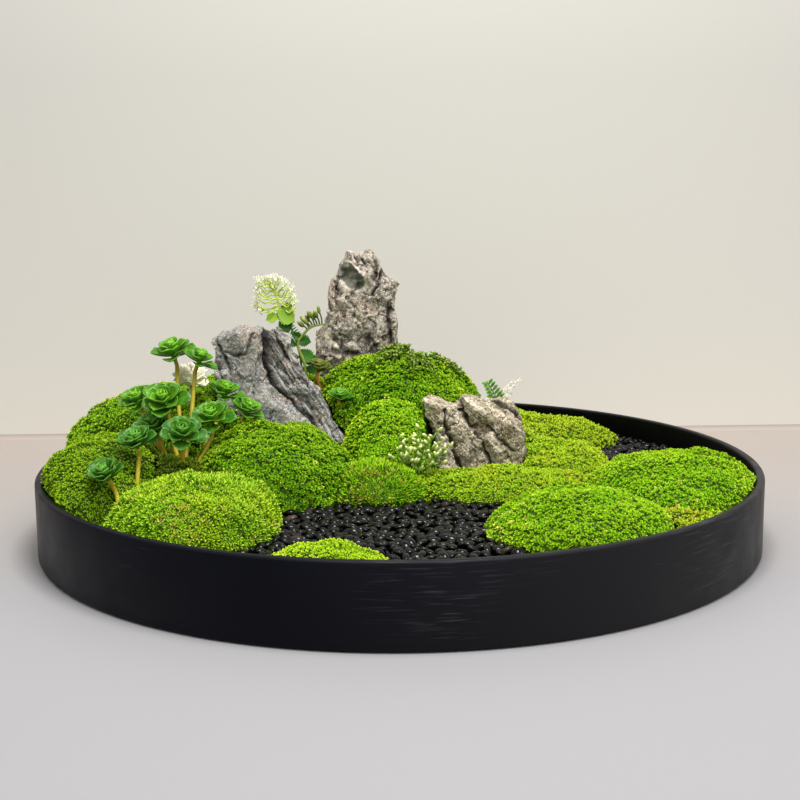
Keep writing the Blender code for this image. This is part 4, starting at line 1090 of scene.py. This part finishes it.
# %% Three stones
# seed, (size, height) of the chips, (thickness, strength) of the layers, way across them,
# depth of the pits, clefts as (width, depth, path), forms as (x, z, reaches, height);
# BOWLS gives each stone's smooth hollow or facet in the same way
STONES = {
    "stone_left": (1, ((20, 0.8), (7, 0.4)), (3.6, 0.75), (0.83, 0.1, 0.55), 2.0, (
        (0.7, 0.6, ((-117, 180), (-116, 165), (-116, 141), (-113, 129), (-103, 116), (-95, 109), (-72, 86))),
        (1.1, 2.2, ((-159, 171), (-150, 151), (-143, 134))),
        (0.9, 1.5, ((-165, 160), (-157, 143), (-150, 128))),
        (1.1, 2.0, ((-147, 152), (-138, 149), (-129, 151), (-124, 168))),
        (1.4, 3.6, ((-108, 172), (-104, 160), (-97, 146), (-89, 140), (-85, 134), (-79, 130))),
        (1.1, 2.4, ((-85, 130), (-81, 125), (-78, 121))),
        (1.3, 2.8, ((-83, 100), (-78, 94), (-72, 88))),
        (1.8, 1.0, ((-92, 114), (-82, 107), (-72, 100))),
        (0.8, 1.6, ((-111, 160), (-108, 146), (-103, 136), (-96, 130))),
        (0.8, 1.6, ((-112, 148), (-109, 140), (-104, 131), (-95, 122))),
        (0.7, 1.3, ((-107, 163), (-101, 150), (-92, 138), (-84, 122))),
        (0.7, 1.2, ((-98, 132), (-88, 121), (-78, 110))),
    ), (
        (-117, 108, 8, 8, 1.4), (-134, 160, 12, 9, 0.8), (-91, 149, 6, 9, -2.6),
    )),
    "stone_tall": (2, ((13, 1.5), (6, 0.7)), (9.0, 0.2), (0.9, 0.3, -0.3), 3.5, (
        (1.3, 3.5, ((-39, 232), (-38, 226), (-37, 222))),
        (1.4, 3.0, ((-15, 212), (-18, 202), (-23, 192))),
        (1.8, 3.5, ((-20, 220), (-20.5, 212), (-22, 207))),
        (2.2, 4.0, ((-8, 180), (-9, 170), (-8, 158), (-6, 140))),
        (1.0, 1.8, ((-58, 205), (-54, 196), (-58, 186))),
        (1.2, 2.0, ((-52, 150), (-50, 132), (-44, 118))),
        (1.2, 2.2, ((-30, 158), (-22, 148), (-20, 132))),
        (1.3, 3.0, ((-32, 223), (-31, 219))),
        (3.6, 1.4, ((-29, 156), (-26, 143))),
        (2.4, 2.0, ((-66, 143), (-45, 139), (-24, 140))),
    ), (
        (-43, 209, 9, 7, -4.0), (-28, 216, 8, 13, 2.6), (-61, 203, 5, 6, 1.6), (-37, 202, 3, 5, -2),
        (-10, 196, 7, 12, 1.8), (-58, 168, 6, 16, 1.2), (-36, 172, 9, 14, 1.5), (-28, 148, 8, 7, -1.8),
    )),
    "stone_right": (3, ((17, 1.1), (6, 0.4)), (7.5, 0.2), (0.62, 0.1, 0.78), 1.0, (
        (1.5, 4.5, ((50, 113), (52, 104), (55, 98), (60, 92), (66, 89))),
        (1.1, 3.0, ((65, 84), (69.5, 76.5), (73, 67), (76, 60), (77, 48))),
        (1.3, 4.0, ((38, 104), (39.7, 90), (42.6, 82), (46, 74), (48, 64), (52, 52))),
        (1.0, 2.8, ((74, 89), (82, 83), (87, 76), (97, 69))),
        (1.6, 3.4, ((72, 115), (86, 106), (100, 99), (107, 89), (110, 70))),
        (0.9, 1.4, ((60, 80), (64, 70), (66, 56))),
        (0.8, 1.2, ((84, 104), (92, 96), (98, 86))),
    ), (
        (70, 100, 12, 8, 1.2), (33, 96, 7, 10, 1.0), (57, 74, 7, 12, 1.2), (88, 92, 9, 7, 0.9),
    )),
}
for name, values in STONES.items():
    make_piece("weathered_" + name, weathered(name, *values), ROCKS[name], name)

# %% [markdown]
# ## The pebbles
# The tray is filled with small polished black pebbles, eight to twelve millimetres long,
# a few of them brownish. They are turned at random but lie nearly flat, as poured and
# shaken stones do. Two layers over a dark bed leave no hole to see through.

# %% Pebble finish
pebble_finish, tree, shader = new_finish("polished_black_pebble", 0.12, 0.22)
tone = painted_value(tree, "tone")
black = blended(tree, tone, colour(2, 2, 3), colour(12, 11, 12))
dusty = blended(tree, mask(tree, 240, 0.54, 0.78, 4), black, colour(26, 25, 25))
some_brown = blended(tree, spread(tree, tone, 0.985, 1.0), dusty, colour(74, 58, 50))
wire(tree, some_brown, shader.inputs["Base Color"])
polish = spread(tree, mask(tree, 160, 0.3, 0.7, 3), 0.0, 1.0, 0.06, 0.15)
wire(tree, polish, shader.inputs["Roughness"])
bumped(tree, shader, mask(tree, 300, 0.35, 0.7, 2), 0.12, 0.0003)
print("pebble finish:", len(tree.nodes), "nodes")


# %% A ball and an outline
def ball_shape(around, rows):
    """A unit ball of few faces."""
    t = (np.arange(rows) + 1) / (rows + 1) * math.pi
    angle = np.arange(around) / around * 2 * math.pi
    rings = np.stack([np.outer(np.sin(t), np.cos(angle)), np.outer(np.sin(t), np.sin(angle)),
                      np.outer(-np.cos(t), np.ones(around))], axis=2)
    return ring_shape(np.array([[0, 0, -1], [0, 0, 1.0]]), rings, {})


def inside_outline(x, y, outline):
    """Whether a place lies within a closed outline, both in millimetres."""
    found = False
    for (x0, y0), (x1, y1) in zip(outline, outline[1:] + outline[:1]):
        if (y0 > y) != (y1 > y) and x < x0 + (y - y0) * (x1 - x0) / (y1 - y0):
            found = not found
    return found


print("a pebble has", len(ball_shape(9, 6)[1]), "triangles")


# %% Poured pebbles
def poured(outline, cover, seed, lift):
    """Pebbles in two layers over an area, left out where something covers them."""
    TRIES, WALL = 9000, 287.5
    draw = random.Random(seed)
    unit, triangles, _ = ball_shape(9, 6)
    xs, ys = [p[0] for p in outline], [p[1] for p in outline]
    shapes = []
    for level, gap in ((42.4 + lift, 7.4), (46.6 + lift, 6.3)):
        spots = []
        for attempt in range(TRIES):
            x, y = draw.uniform(min(xs), max(xs)), draw.uniform(min(ys), max(ys))
            if math.hypot(x, y) > WALL or not inside_outline(x, y, outline):
                continue
            if any((x - a) ** 2 + (y - b) ** 2 < gap * gap for a, b in spots):
                continue
            spots.append((x, y))
        for x, y in spots:
            above = cover.ray_cast(Vector((x * MM, y * MM, 0.043 + lift * MM)), Vector((0, 0, 1)), 0.2)[0]
            if above is not None and above.z > 0.0505 + lift * MM:
                continue
            size = Vector((draw.uniform(4.4, 6.2), draw.uniform(3.1, 4.2), draw.uniform(1.8, 2.6)))
            turn = (Matrix.Rotation(draw.uniform(0, 6.28), 4, "Z")
                    @ Matrix.Rotation(draw.gauss(0, 0.32), 4, "Y")
                    @ Matrix.Rotation(draw.gauss(0, 0.36), 4, "X"))
            grown = unit * np.array(size) * MM
            grown = grown * (1 + 0.08 * np.sin(unit[:, [1, 2, 0]] * 2 + draw.uniform(0, 6)))
            place = Matrix.Translation((x * MM, y * MM, (level + draw.uniform(-0.7, 0.9)) * MM))
            tone = np.full(len(unit), draw.random())
            shapes.append(moved((grown, triangles, {"tone": tone}), place @ turn))
    return shapes


def pebble_piece(name, outline, seed, lift):
    """The pebbles over an outline with the dark bed below them."""
    INSET, BED, LOWEST_BED = 0.985, 41, 39
    shapes = poured(outline, tree_of(("moss", "stone")), seed, lift)
    level = max(BED + lift, LOWEST_BED) * MM
    bed = np.array([(x * MM * INSET, y * MM * INSET, level) for x, y in outline])
    count = len(outline)
    fan = np.array([(count, n, (n + 1) % count) for n in range(count)])
    if np.cross(bed[1] - bed[0], bed[2] - bed[1])[2] < 0:
        fan = fan[:, ::-1]
    sheet = (np.concatenate([bed, [bed.mean(0)]]), fan, {"tone": np.full(count + 1, 0.0)})
    print(name, len(shapes), "pebbles")
    return make_piece("poured_" + name, stacked([sheet, *shapes]), pebble_finish, name)


# outlines in millimetres, the seed, and how far a bed is raised
FRONT_AREA = [(-134, -262), (-112, -130), (-60, -98), (-20, -84), (60, -78), (150, -76),
              (166, -110), (130, -140), (84, -190), (84, -282), (0, -296), (-90, -290)]
BACK_AREA = [(140, 20), (150, 60), (150, 110), (170, 150), (180, 200), (204, 216),
             (240, 180), (262, 130), (290, 60), (290, -20), (230, -30), (165, -25)]
pebble_piece("pebbles_front", FRONT_AREA, 21, 0)
pebble_piece("pebbles_back", BACK_AREA, 22, -5)

# %% [markdown]
# ## The succulent heads
# The heads are moulded sedum rosettes: about twenty round, cupped leaves in a spiral,
# flat and dark on the outside, upright and yellow-green in the middle, with a pale rim.
# One spiral rule gives every head; its size, lean and greens differ.


# %% Leaf finish
def plant_finish(name, roughness, *tones, rim_from=0.62, rim_share=0.6):
    """Plant skin in three tones: deep at the foot, bright further out, and a pale rim."""
    deep, bright, rim = [colour(*tone) for tone in tones]
    material, tree, shader = new_finish(name, roughness, 0.28)
    body = blended(tree, painted_value(tree, "tone"), deep, bright)
    body = blended(tree, mask(tree, 110, 0.4, 0.62, 3), body, blended(tree, 0.35, body, bright))
    veins = mask(tree, 600, 0.4, 0.66, 3)
    body = blended(tree, veins, body, blended(tree, 0.12, body, rim))
    edge = both(tree, spread(tree, painted_value(tree, "edge"), rim_from, 1.0), rim_share)
    wire(tree, blended(tree, edge, body, rim), shader.inputs["Base Color"])
    shader.inputs["Subsurface Weight"].default_value = 0.12
    shader.inputs["Subsurface Radius"].default_value = (0.5, 1.0, 0.2)
    shader.inputs["Subsurface Scale"].default_value = 0.002
    bumped(tree, shader, veins, 0.15, 0.0003)
    return material


head_green = plant_finish("rosette_green", 0.36, (14, 80, 4), (112, 174, 30), (148, 202, 74))
head_dark = plant_finish("rosette_dark", 0.36, (16, 74, 10), (84, 146, 34), (132, 186, 80))
head_brown = plant_finish("rosette_brown", 0.5, (56, 74, 18), (114, 126, 42), (150, 134, 78))
print("head finishes:", head_green.name, head_dark.name, head_brown.name)


# %% Spiral of cupped leaves
def rosette(seed, leaves, lowest):
    """A head of width 1, foot at the origin, whose outer leaves rise by so many degrees."""
    INNERMOST = 72
    draw = random.Random(seed)
    shapes = []
    for number in range(leaves):
        inner = number / (leaves - 1)
        pitch = math.radians(lowest + (INNERMOST - lowest) * inner ** 1.1 + draw.uniform(-7, 7))
        length = (0.53 - 0.25 * inner) * draw.uniform(0.94, 1.06)
        width = (0.42 - 0.2 * inner) * draw.uniform(0.94, 1.06)
        shape = leaf(length, width, 0.034, cup=0.1, curl=0.07, widest=0.72, foot=0.24,
                     rows=7, around=10, tone=0.06 + 0.86 * inner ** 1.6, tip=0.02)
        place = (Matrix.Rotation(number * GOLDEN_ANGLE + draw.uniform(-0.12, 0.12), 4, "Z")
                 @ Matrix.Translation((0.035 * (1 - inner), 0, 0.13 * inner))
                 @ Matrix.Rotation(-pitch, 4, "Y"))
        shapes.append(moved(shape, place))
    core = rod([(0, 0, -0.018), (0, 0, 0.05), (0, 0, 0.12)], (0.05, 0.07, 0.05), 8, 0.5)
    return stacked([core, *shapes])


print("a head has", len(rosette(0, 19, 3)[1]), "triangles")


# %% Heads in place
# x, y and z of the foot, width across, lean to the front and to the right in degrees
HEADS = {
    "succulent_head_top_left": (-188, 0, 151, 36, 20, -12),
    "succulent_head_top_right": (-165, -22, 149, 31, 14, 22),
    "succulent_head_by_stone": (-146, -12, 119, 31, 18, 14),
    "succulent_head_centre": (-150, -58, 107, 35, 34, -4),
    "succulent_head_right": (-127, -26, 107, 30, 20, 26),
    "succulent_head_big": (-187, -58, 121, 40, 42, -6),
    "succulent_head_left": (-214, -24, 115, 34, 26, -18),
    "succulent_head_low_left": (-196, -52, 98, 31, 30, -14),
    "succulent_head_low_centre": (-170, -90, 100, 29, 36, 8),
    "succulent_head_front_upper": (-202, -103, 96, 34, 24, -8),
    "succulent_head_front_lower": (-218, -138, 79, 32, 26, -16),
    "succulent_head_behind_brown": (-72, 66, 128, 24, 14, 10),
    "succulent_head_behind_green": (-52, 36, 107, 23, 22, 6),
}


def at(x, y, z):
    """A place from millimetres."""
    return Vector((x, y, z)) * MM


def head_turn(name):
    """How a head leans."""
    front, right = [math.radians(lean) for lean in HEADS[name][4:]]
    return Matrix.Rotation(front, 4, "X") @ Matrix.Rotation(right, 4, "Y")


def head_finish(name):
    """Brown for one head, a darker green for the low and front ones, green for the rest."""
    if "brown" in name:
        return head_brown
    return head_dark if "front" in name or "_low_" in name else head_green


# heads whose leaves reach further, or less far, beyond the CAD cup than the others
GROWN = {"top_right": 0.9, "big": 0.95, "low_left": 1.25, "low_centre": 1.25}
for number, (name, (x, y, z, width, *_)) in enumerate(HEADS.items()):
    size = GROWN.get(name.removeprefix("succulent_head_"), 1.02) * width * MM
    lowest = 22 if "front" in name or "behind" in name else 3
    place = Matrix.Translation(at(x, y, z)) @ head_turn(name) @ Matrix.Scale(size, 4)
    make_piece("rosette_" + name, moved(rosette(number, 19, lowest), place), head_finish(name), name)

# %% [markdown]
# ## The stems
# The stems are soft plastic rods of a mustard green, which leave one trunk and bend up
# to meet each head square. They follow the same bends as the CAD stems, in finer steps,
# with the small rings that old leaves leave behind.

# %% Stem finish
stem_finish = plant_finish("mustard_stem", 0.45, (132, 124, 12), (190, 170, 34), (190, 190, 70))
orange_stem = plant_finish("orange_stem", 0.5, (150, 96, 30), (190, 130, 56), (190, 150, 80))
print("stem finishes:", stem_finish.name, orange_stem.name)


# %% Stems along their bends
def smooth_path(corners, count):
    """Evenly numbered points on a smooth line through several corners."""
    corners = [Vector(c) for c in corners]
    ends = [corners[0] * 2 - corners[1], *corners, corners[-1] * 2 - corners[-2]]
    points = []
    for number in range(count):
        place = number / (count - 1) * (len(corners) - 1)
        n = min(int(place), len(corners) - 2)
        t = place - n
        a, b, c, d = ends[n:n + 4]
        points.append(0.5 * (2 * b + (c - a) * t + (2 * a - 5 * b + 4 * c - d) * t ** 2
                             + (3 * b - a - 3 * c + d) * t ** 3))
    return points


def stem_path(foot, name, bend=0.2):
    """The bend from a foot to the underside of a head."""
    COUNT, STRAIGHT_END = 14, 7
    x, y, z, width = HEADS[name][:4]
    way = head_turn(name) @ Vector((0, 0, 1))
    end = Vector((x, y, z)) - way * (width * 0.02 + 0.3)
    before = end - way * STRAIGHT_END
    foot = Vector(foot)
    gone = before - foot
    middle = foot + Vector((gone.x * bend, gone.y * 0.6, gone.z * (1.1 - bend)))
    shares = [number / (COUNT - 1) for number in range(COUNT)]
    points = [foot.lerp(middle, t).lerp(middle.lerp(before, t), t) * MM for t in shares]
    return points + [end * MM]


def ringed(path, radius, tone):
    """A stem whose radius swells a little at every old leaf."""
    radii = [radius * (1 + 0.10 * (n % 3 == 0)) * MM for n in range(len(path))]
    return rod(path, radii, 8, tone)


# %% Branching and single stems
TRUNK_X, TRUNK_Y, FORK, BRANCH_RADIUS, BRANCHED_HEADS = -171, -78, 66, 1.7, 9
branches = [rod([(TRUNK_X * MM, TRUNK_Y * MM, z * MM) for z in (60, 66, 71)],
                [0.0042, 0.0040, 0.0026], 10, 0.3)]
for number, name in enumerate(list(HEADS)[:BRANCHED_HEADS]):
    start = (TRUNK_X + 2.2 * math.cos(number * 2.4), TRUNK_Y + 2.2 * math.sin(number * 2.4), FORK)
    branches.append(ringed(stem_path(start, name, 0.72), BRANCH_RADIUS, 0.2 + 0.08 * number))
make_piece("branching_stems", stacked(branches), stem_finish, "succulent_stems")
SINGLE_FEET = {
    "front_upper": (-201, -124, 52),
    "front_lower": (-207, -158, 48),
    "behind_brown": (-70, 70, 104),
    "behind_green": (-45, 34, 86),
}
for name, foot in SINGLE_FEET.items():
    path = stem_path(foot, "succulent_head_" + name)
    finish = orange_stem if "brown" in name else stem_finish
    make_piece("stem_" + name, ringed(path, BRANCH_RADIUS, 0.5), finish, "succulent_stem_" + name)

# %% [markdown]
# ## The fine sprays
# Behind and between the stones stand a spidery white flower on a leafy stem, an arching
# sprig of buds, a cluster of cream petals, a fan of small white buds, a low bush of green
# beads and a fern tip. Each follows the CAD piece's stem and adds the small parts.

# %% Spray finishes
spray_green = plant_finish("spray_green", 0.45, (52, 112, 34), (132, 180, 62), (176, 206, 110))
bright_leaf = plant_finish("bright_leaf", 0.42, (66, 112, 6), (132, 168, 30), (152, 184, 62))
dark_leaf = plant_finish("dark_leaf", 0.45, (20, 66, 8), (58, 118, 24), (110, 150, 60))
filament = plant_finish("pale_filament", 0.5, (158, 190, 40), (206, 222, 96), (240, 242, 190))
white_bud = plant_finish("white_bud", 0.5, (100, 140, 20), (160, 184, 56), (234, 234, 176),
                         rim_from=0.3, rim_share=1.0)
bead_green = plant_finish("bead_green", 0.45, (36, 66, 6), (106, 138, 28), (172, 186, 80))
cream_petal = plant_finish("cream_petal", 0.55, (206, 208, 150), (246, 243, 224), (250, 248, 236))
bud_olive = plant_finish("bud_olive", 0.5, (50, 74, 18), (124, 142, 58), (186, 186, 104))
print("materials so far:", len(bpy.data.materials))


# %% Helpers for twigs and leaves
def pointing(place, way, roll=0.0):
    """A matrix that turns +X to a way at a place, with +Z kept as high as it can be."""
    way = Vector(way).normalized()
    side = Vector((0, 0, 1)).cross(way)
    side = side.normalized() if side.length > 0.01 else Vector((0, 1, 0))
    top = way.cross(side)
    turn = Matrix((way, side, top)).transposed().to_4x4()
    return Matrix.Translation(place) @ turn @ Matrix.Rotation(roll, 4, "X")


def leafed(place, way, length, width, roll=0.0, thick=0.8, cup=1.0, curl=0.0, **more):
    """A leaf at a place, with its length, width, thickness, cup and curl in millimetres."""
    shape = leaf(length * MM, width * MM, thick * MM, cup * MM, curl * MM, **more)
    return moved(shape, pointing(place, way, roll))


def curved(start, end, bulge, count):
    """Points on a bow from a start to an end."""
    start, end, bulge = Vector(start), Vector(end), Vector(bulge)
    shares = [n / (count - 1) for n in range(count)]
    return [start.lerp(end, share) + bulge * math.sin(math.pi * share) for share in shares]


def by_finish(*groups):
    """Groups of shapes as one shape, and the number of its group for each triangle."""
    counts = [sum(len(shape[1]) for shape in group) for group in groups]
    return stacked([shape for group in groups for shape in group]), np.repeat(range(len(groups)), counts)


# %% Spidery white flower
def spidery_flower():
    """Wavy yellow-green filaments on both sides of a short rib, with fine white tufts."""
    draw = random.Random(31)
    rib = curved(at(-107, 90, 178), at(-115, 90, 203), at(2, 0, 0), 9)
    green, white = [rod(rib, np.linspace(1.3, 0.6, 9) * MM, 6, 0.3)], []
    for number in range(30):
        share = min(1, number / 22)
        start = rib[1 + int(6.9 * share)]
        side = (-1, 1)[number % 2]
        reach = Vector((side * draw.uniform(13, 20) * (1 - 0.35 * share) - 4 * (side < 0),
                        draw.uniform(-9, 9), draw.uniform(-5, 3) + 6 * share))
        if number > 21:
            reach = Vector((2.6 * (number - 25.5), draw.uniform(-7, 7), draw.uniform(6, 10)))
        end = start + reach * MM
        end.x = max(end.x, -0.139)
        path = curved(start, end, (0, 0, -2 * MM), 11)
        phase = draw.uniform(0, 6.3)
        for n in range(2, 11):
            path[n] += Vector((0, math.cos(1.4 * n + phase), math.sin(1.4 * n + phase))) * 1.1 * MM
        green.append(rod(path, np.linspace(0.8, 0.4, 11) * MM, 5, draw.uniform(0.1, 0.9)))
        fork = curved(path[6], path[6] + Vector((0.4 * reach.x, -0.3 * reach.y, 5)) * MM, (0, 0, 1 * MM), 5)
        green.append(rod(fork, np.linspace(0.55, 0.35, 5) * MM, 5, 0.8))
        if share < 0.3 and side > 0:
            continue
        for spot in (path[10], path[9], fork[4], fork[3]):
            for part in range(3):
                way = Vector((draw.gauss(0.3 * side, 0.8), draw.gauss(0, 0.8), draw.gauss(0.6, 0.6)))
                white.append(leafed(spot, way, draw.uniform(3, 4.8), 0.9, rows=4, around=5, thick=0.5,
                                    cup=0.2, curl=0.8, tone=draw.uniform(0.7, 1.0)))
    return by_finish(green, white)


shape, sides = spidery_flower()
make_piece("spidery_flower", shape, [filament, cream_petal], "white_flower_head", sides)


# %% Stem and leaves below the flower
def facing_leaf(place, heading, raised, length, width, teeth, tone, **more):
    """A leaf that runs to one side and turns its upper face to the front."""
    way = Matrix.Rotation(math.radians(heading), 3, "Z") @ Matrix.Rotation(-math.radians(raised), 3, "Y")
    way = way @ Vector((1, 0, 0))
    roll = 1.2 if way.x > 0 else -1.2
    return leafed(at(*place), way, length, width, roll, rows=20, around=10, teeth=teeth, cup=1.4,
                  curl=1.2, tone=tone, tip=0.08, foot=0.15, **more)


def flower_stem():
    """The flower's stem with a large scalloped leaf and smaller ones."""
    path = [at(-88, 84, 104), at(-88, 84, 132), at(-92, 88, 152), at(-99, 90, 168),
            at(-107, 90, 175.2), at(-107, 90, 180.4)]
    stem = rod(smooth_path(path, 22), 1.15 * MM, 7, 0.7)
    # place, heading, raised, length, width, waves on the rim, tone
    bright = [facing_leaf(*row) for row in (
        ((-109, 88, 180), -8, -34, 18, 16, 2.4, 0.55), ((-106, 88, 176), 172, -22, 13, 10, 2.4, 0.8),
        ((-107, 89, 181), 20, 12, 12, 8, 2.4, 0.5),
    )]
    dark = [facing_leaf(*row) for row in (
        ((-106, 89, 175), -10, -64, 16, 13, 2.8, 0.5), ((-97, 89, 160), -15, -30, 12, 8, 2.8, 0.2),
        ((-93, 87, 154), -10, -10, 14, 11, 2.8, 0.5), ((-91, 86, 148), 165, 20, 13, 9, 2.8, 0.3),
        ((-90, 85, 145), -20, -35, 17, 13, 2.8, 0.7), ((-89, 84, 138), 170, 0, 13, 10, 2.8, 0.4),
        ((-88, 84, 134), -5, 12, 15, 11, 2.8, 0.2), ((-88, 84, 128), 10, -20, 15, 11, 2.8, 0.5),
        ((-88, 84, 126), 175, -10, 14, 10, 2.8, 0.1),
    )]
    for number in range(9):
        spot = at(-99 + 1.5 * number, 87, 166 - 1.9 * number)
        for side in (-1, 1):
            dark.append(leafed(spot, (0.5 * side + 0.3, -0.4, 0.55 * side), 6, 1.7, 1.0, rows=5, around=6,
                               thick=0.5, cup=0.2, widest=0.5, tone=0.3))
    return by_finish([stem], bright, dark)


shape, sides = flower_stem()
make_piece("flower_stem", shape, [spray_green, bright_leaf, dark_leaf], "white_flower_stem", sides)


# %% Arching sprig of buds
def arching_sprig():
    """An arch with a row of club-shaped buds that lean back over it."""
    arch = [at(-84, 74, 104), at(-84, 74, 132), at(-90, 76, 150), at(-83, 76, 162),
            at(-76, 76, 167), at(-66, 76, 169)]
    path = smooth_path(arch, 24)
    shapes = [rod(path, np.linspace(1.5, 0.9, 24) * MM, 7, 0.85)]
    for number in range(8):
        start = path[15 + number]
        height = 8 + 0.9 * number + (0, 2.5, -1)[number % 3]
        tip = start + at(-8.5 + 0.7 * number, (-2.5, 1.0)[number % 2], height)
        way = (tip - start).normalized()
        shapes.append(rod(curved(start, tip - way * 5 * MM, (0.8 * MM, 0, 0), 5), 0.75 * MM, 5, 0.0))
        shapes.append(bud(tip - way * 8 * MM, way, 8.5 * MM, (2.2, 1.7)[number % 2] * MM,
                          0.2 + 0.25 * (number % 3), 8, 7))
    return stacked(shapes)


make_piece("arching_sprig", arching_sprig(), bud_olive, "bud_sprig")


# %% Cream blossom
def cream_cluster():
    """Many cupped petals round one centre on a short stem."""
    draw = random.Random(17)
    centre = at(-177, 16, 129)
    shapes = [bud(centre - at(0, 0, 6), (0, 0, 1), 12 * MM, 6 * MM, 0.3, 10, 6)]
    for number in range(48):
        height = 1 - 1.5 * (number + 0.5) / 48
        angle = number * GOLDEN_ANGLE
        level = math.sqrt(max(0, 1 - height * height))
        way = Vector((math.cos(angle) * level, math.sin(angle) * level, height))
        shapes.append(leafed(centre + way * 6 * MM, way + Vector((0, 0, 0.2)), draw.uniform(8, 11), 8,
                             draw.uniform(-1, 1), rows=6, around=8, thick=0.8, cup=1.4, curl=1.4,
                             tone=draw.uniform(0.45, 1.0)))
    shapes.append(rod([at(-181, 22, 77), at(-181, 22, 100), centre], 1.3 * MM, 7, 0.0))
    return stacked(shapes)


make_piece("cream_cluster", cream_cluster(), cream_petal, "cream_blossom")


# %% How high the moss stands
BED_LEVEL = 41
SKY = tree_of(("moss", "stone"))


def ground(x, y):
    """Height of the moss or stone below a place, in millimetres."""
    hit = SKY.ray_cast(at(x, y, 300), Vector((0, 0, -1)))[0]
    return hit.z / MM if hit else BED_LEVEL


print("the landscape's middle stands", round(ground(0, 0)), "mm high")


# %% Fan of white buds
def bud_fan():
    """Thin stems from one foot that end in tufts of oblong buds."""
    draw = random.Random(5)
    foot, fork = at(11, -36, 40), at(11, -36, 60)
    stems, buds = [rod([foot, at(11, -36, 50), fork], 1.2 * MM, 7, 0.2)], []
    for number in range(26):
        turn = number * GOLDEN_ANGLE
        share = math.sqrt((number + 0.5) / 26)
        x, z = 18 + 25 * share * math.cos(turn), 79 + 19 * share * math.sin(turn)
        y = -44 - 12 * math.sqrt(1 - share ** 2) + draw.uniform(-2, 2)
        tip = at(x, y, max(z, ground(x, y) + 5))
        path = curved(fork - at(0, 0, 8 * draw.random()), tip, (0, -1.5 * MM, 1.5 * MM), 7)
        stems.append(rod(path, 0.5 * MM, 5, 0.4))
        for part in range(3):
            spot = path[6 - part]
            aside = Vector((draw.gauss(0, 0.9), draw.gauss(-0.3, 0.7), 1.3)).normalized()
            end = spot + aside * 0.8 * MM
            stems.append(rod([spot, spot.lerp(end, 0.5), end], 0.4 * MM, 4, 0.5))
            buds.append(bud(end, aside, draw.uniform(6.0, 8.0) * MM, draw.uniform(1.25, 1.7) * MM,
                            draw.uniform(0.0, 1.0), 7, 6))
    return by_finish(stems, buds)


shape, sides = bud_fan()
make_piece("white_bud_fan", shape, [spray_green, white_bud], "white_bud_spray", sides)


# %% Bush of green beads
def bead_bush():
    """Low twigs over the summit, set with small leaves and beads."""
    draw = random.Random(8)
    fork = at(12, 76, 146)
    shapes = [rod([at(12, 76, 105), at(12, 76, 125), fork], 1.3 * MM, 7, 0.3)]
    for number in range(34):
        x = -24 + 82 * ((number * 0.618) % 1)
        y = draw.uniform(42, 76) if x < 34 else draw.uniform(62, 84)
        z = max(ground(x, y) + draw.uniform(3, 9 if x < 34 else 5), 112)
        start = fork.lerp(at(x, y, z), 0.3 if x < 34 else 0.6)
        start.z = max(start.z, (ground(start.x / MM, start.y / MM) + 1) * MM)
        path = curved(start, at(x, y, z), (0, 0, 3 * MM), 8)
        shapes.append(rod(path, 0.5 * MM, 5, 0.3))
        for part in range(11):
            spot = path[2 + part % 6]
            aside = Vector((draw.gauss(0, 1), draw.gauss(-0.2, 1), draw.uniform(0.1, 1.2))).normalized()
            end = spot + aside * draw.uniform(1.2, 3.4) * MM
            if part % 2:
                tone = draw.uniform(0.1, 1)
                shapes.append(bud(end - aside * 1.2 * MM, aside, 3.0 * MM, 1.35 * MM, tone, 6, 4))
            else:
                shapes.append(leafed(spot, aside, draw.uniform(4, 6), 2.2, rows=5, around=6, thick=0.6,
                                     cup=0.5, curl=0.8, tone=draw.uniform(0.0, 0.8)))
    return stacked(shapes)


make_piece("bead_bush", bead_bush(), bead_green, "berry_sprig")


# %% Fern tip with white threads
def fern():
    """A rib with narrow leaflets on both sides, and three pale threads with fine tips."""
    draw = random.Random(12)
    rib = smooth_path([at(85, 62, 56), at(85, 62, 78), at(87, 61, 100), at(77, 58, 120)], 20)
    green = [rod(rib, np.linspace(1.0, 0.5, 20) * MM, 6, 0.4)]
    for number in range(14):
        share = 0.45 + 0.042 * number
        spot = rib[min(19, int(share * 19))]
        for side in (-1, 1):
            way = Vector((side * 0.85 - 0.1, -0.25, 0.5 + 0.35 * side))
            green.append(leafed(spot, way, 14 - 0.6 * number, 3.0, 1.2 * side, rows=6, around=6, thick=0.6,
                                cup=0.4, curl=1.2, widest=0.5, tone=draw.uniform(0.0, 0.55)))
    pale = []
    for end, bulge in (((106, 62, 119), (0, 0, 5)), ((98, 60, 108), (0, 0, 3)), ((102, 58, 114), (0, 0, 4))):
        path = curved(at(84, 60, 100), at(*end), at(*bulge), 9)
        pale.append(rod(path, 0.4 * MM, 5, 0.7))
        for part in range(16):
            spot = path[5 + part % 4]
            aside = Vector((draw.uniform(0.2, 1), draw.gauss(0, 0.6), draw.gauss(0.3, 0.7)))
            pale.append(leafed(spot, aside, draw.uniform(2.5, 4.2), 0.9, rows=4, around=5, thick=0.4,
                               cup=0.1, tone=0.9))
    return by_finish(green, pale)


shape, sides = fern()
make_piece("fern_and_threads", shape, [spray_green, cream_petal], "fern_tip", sides)
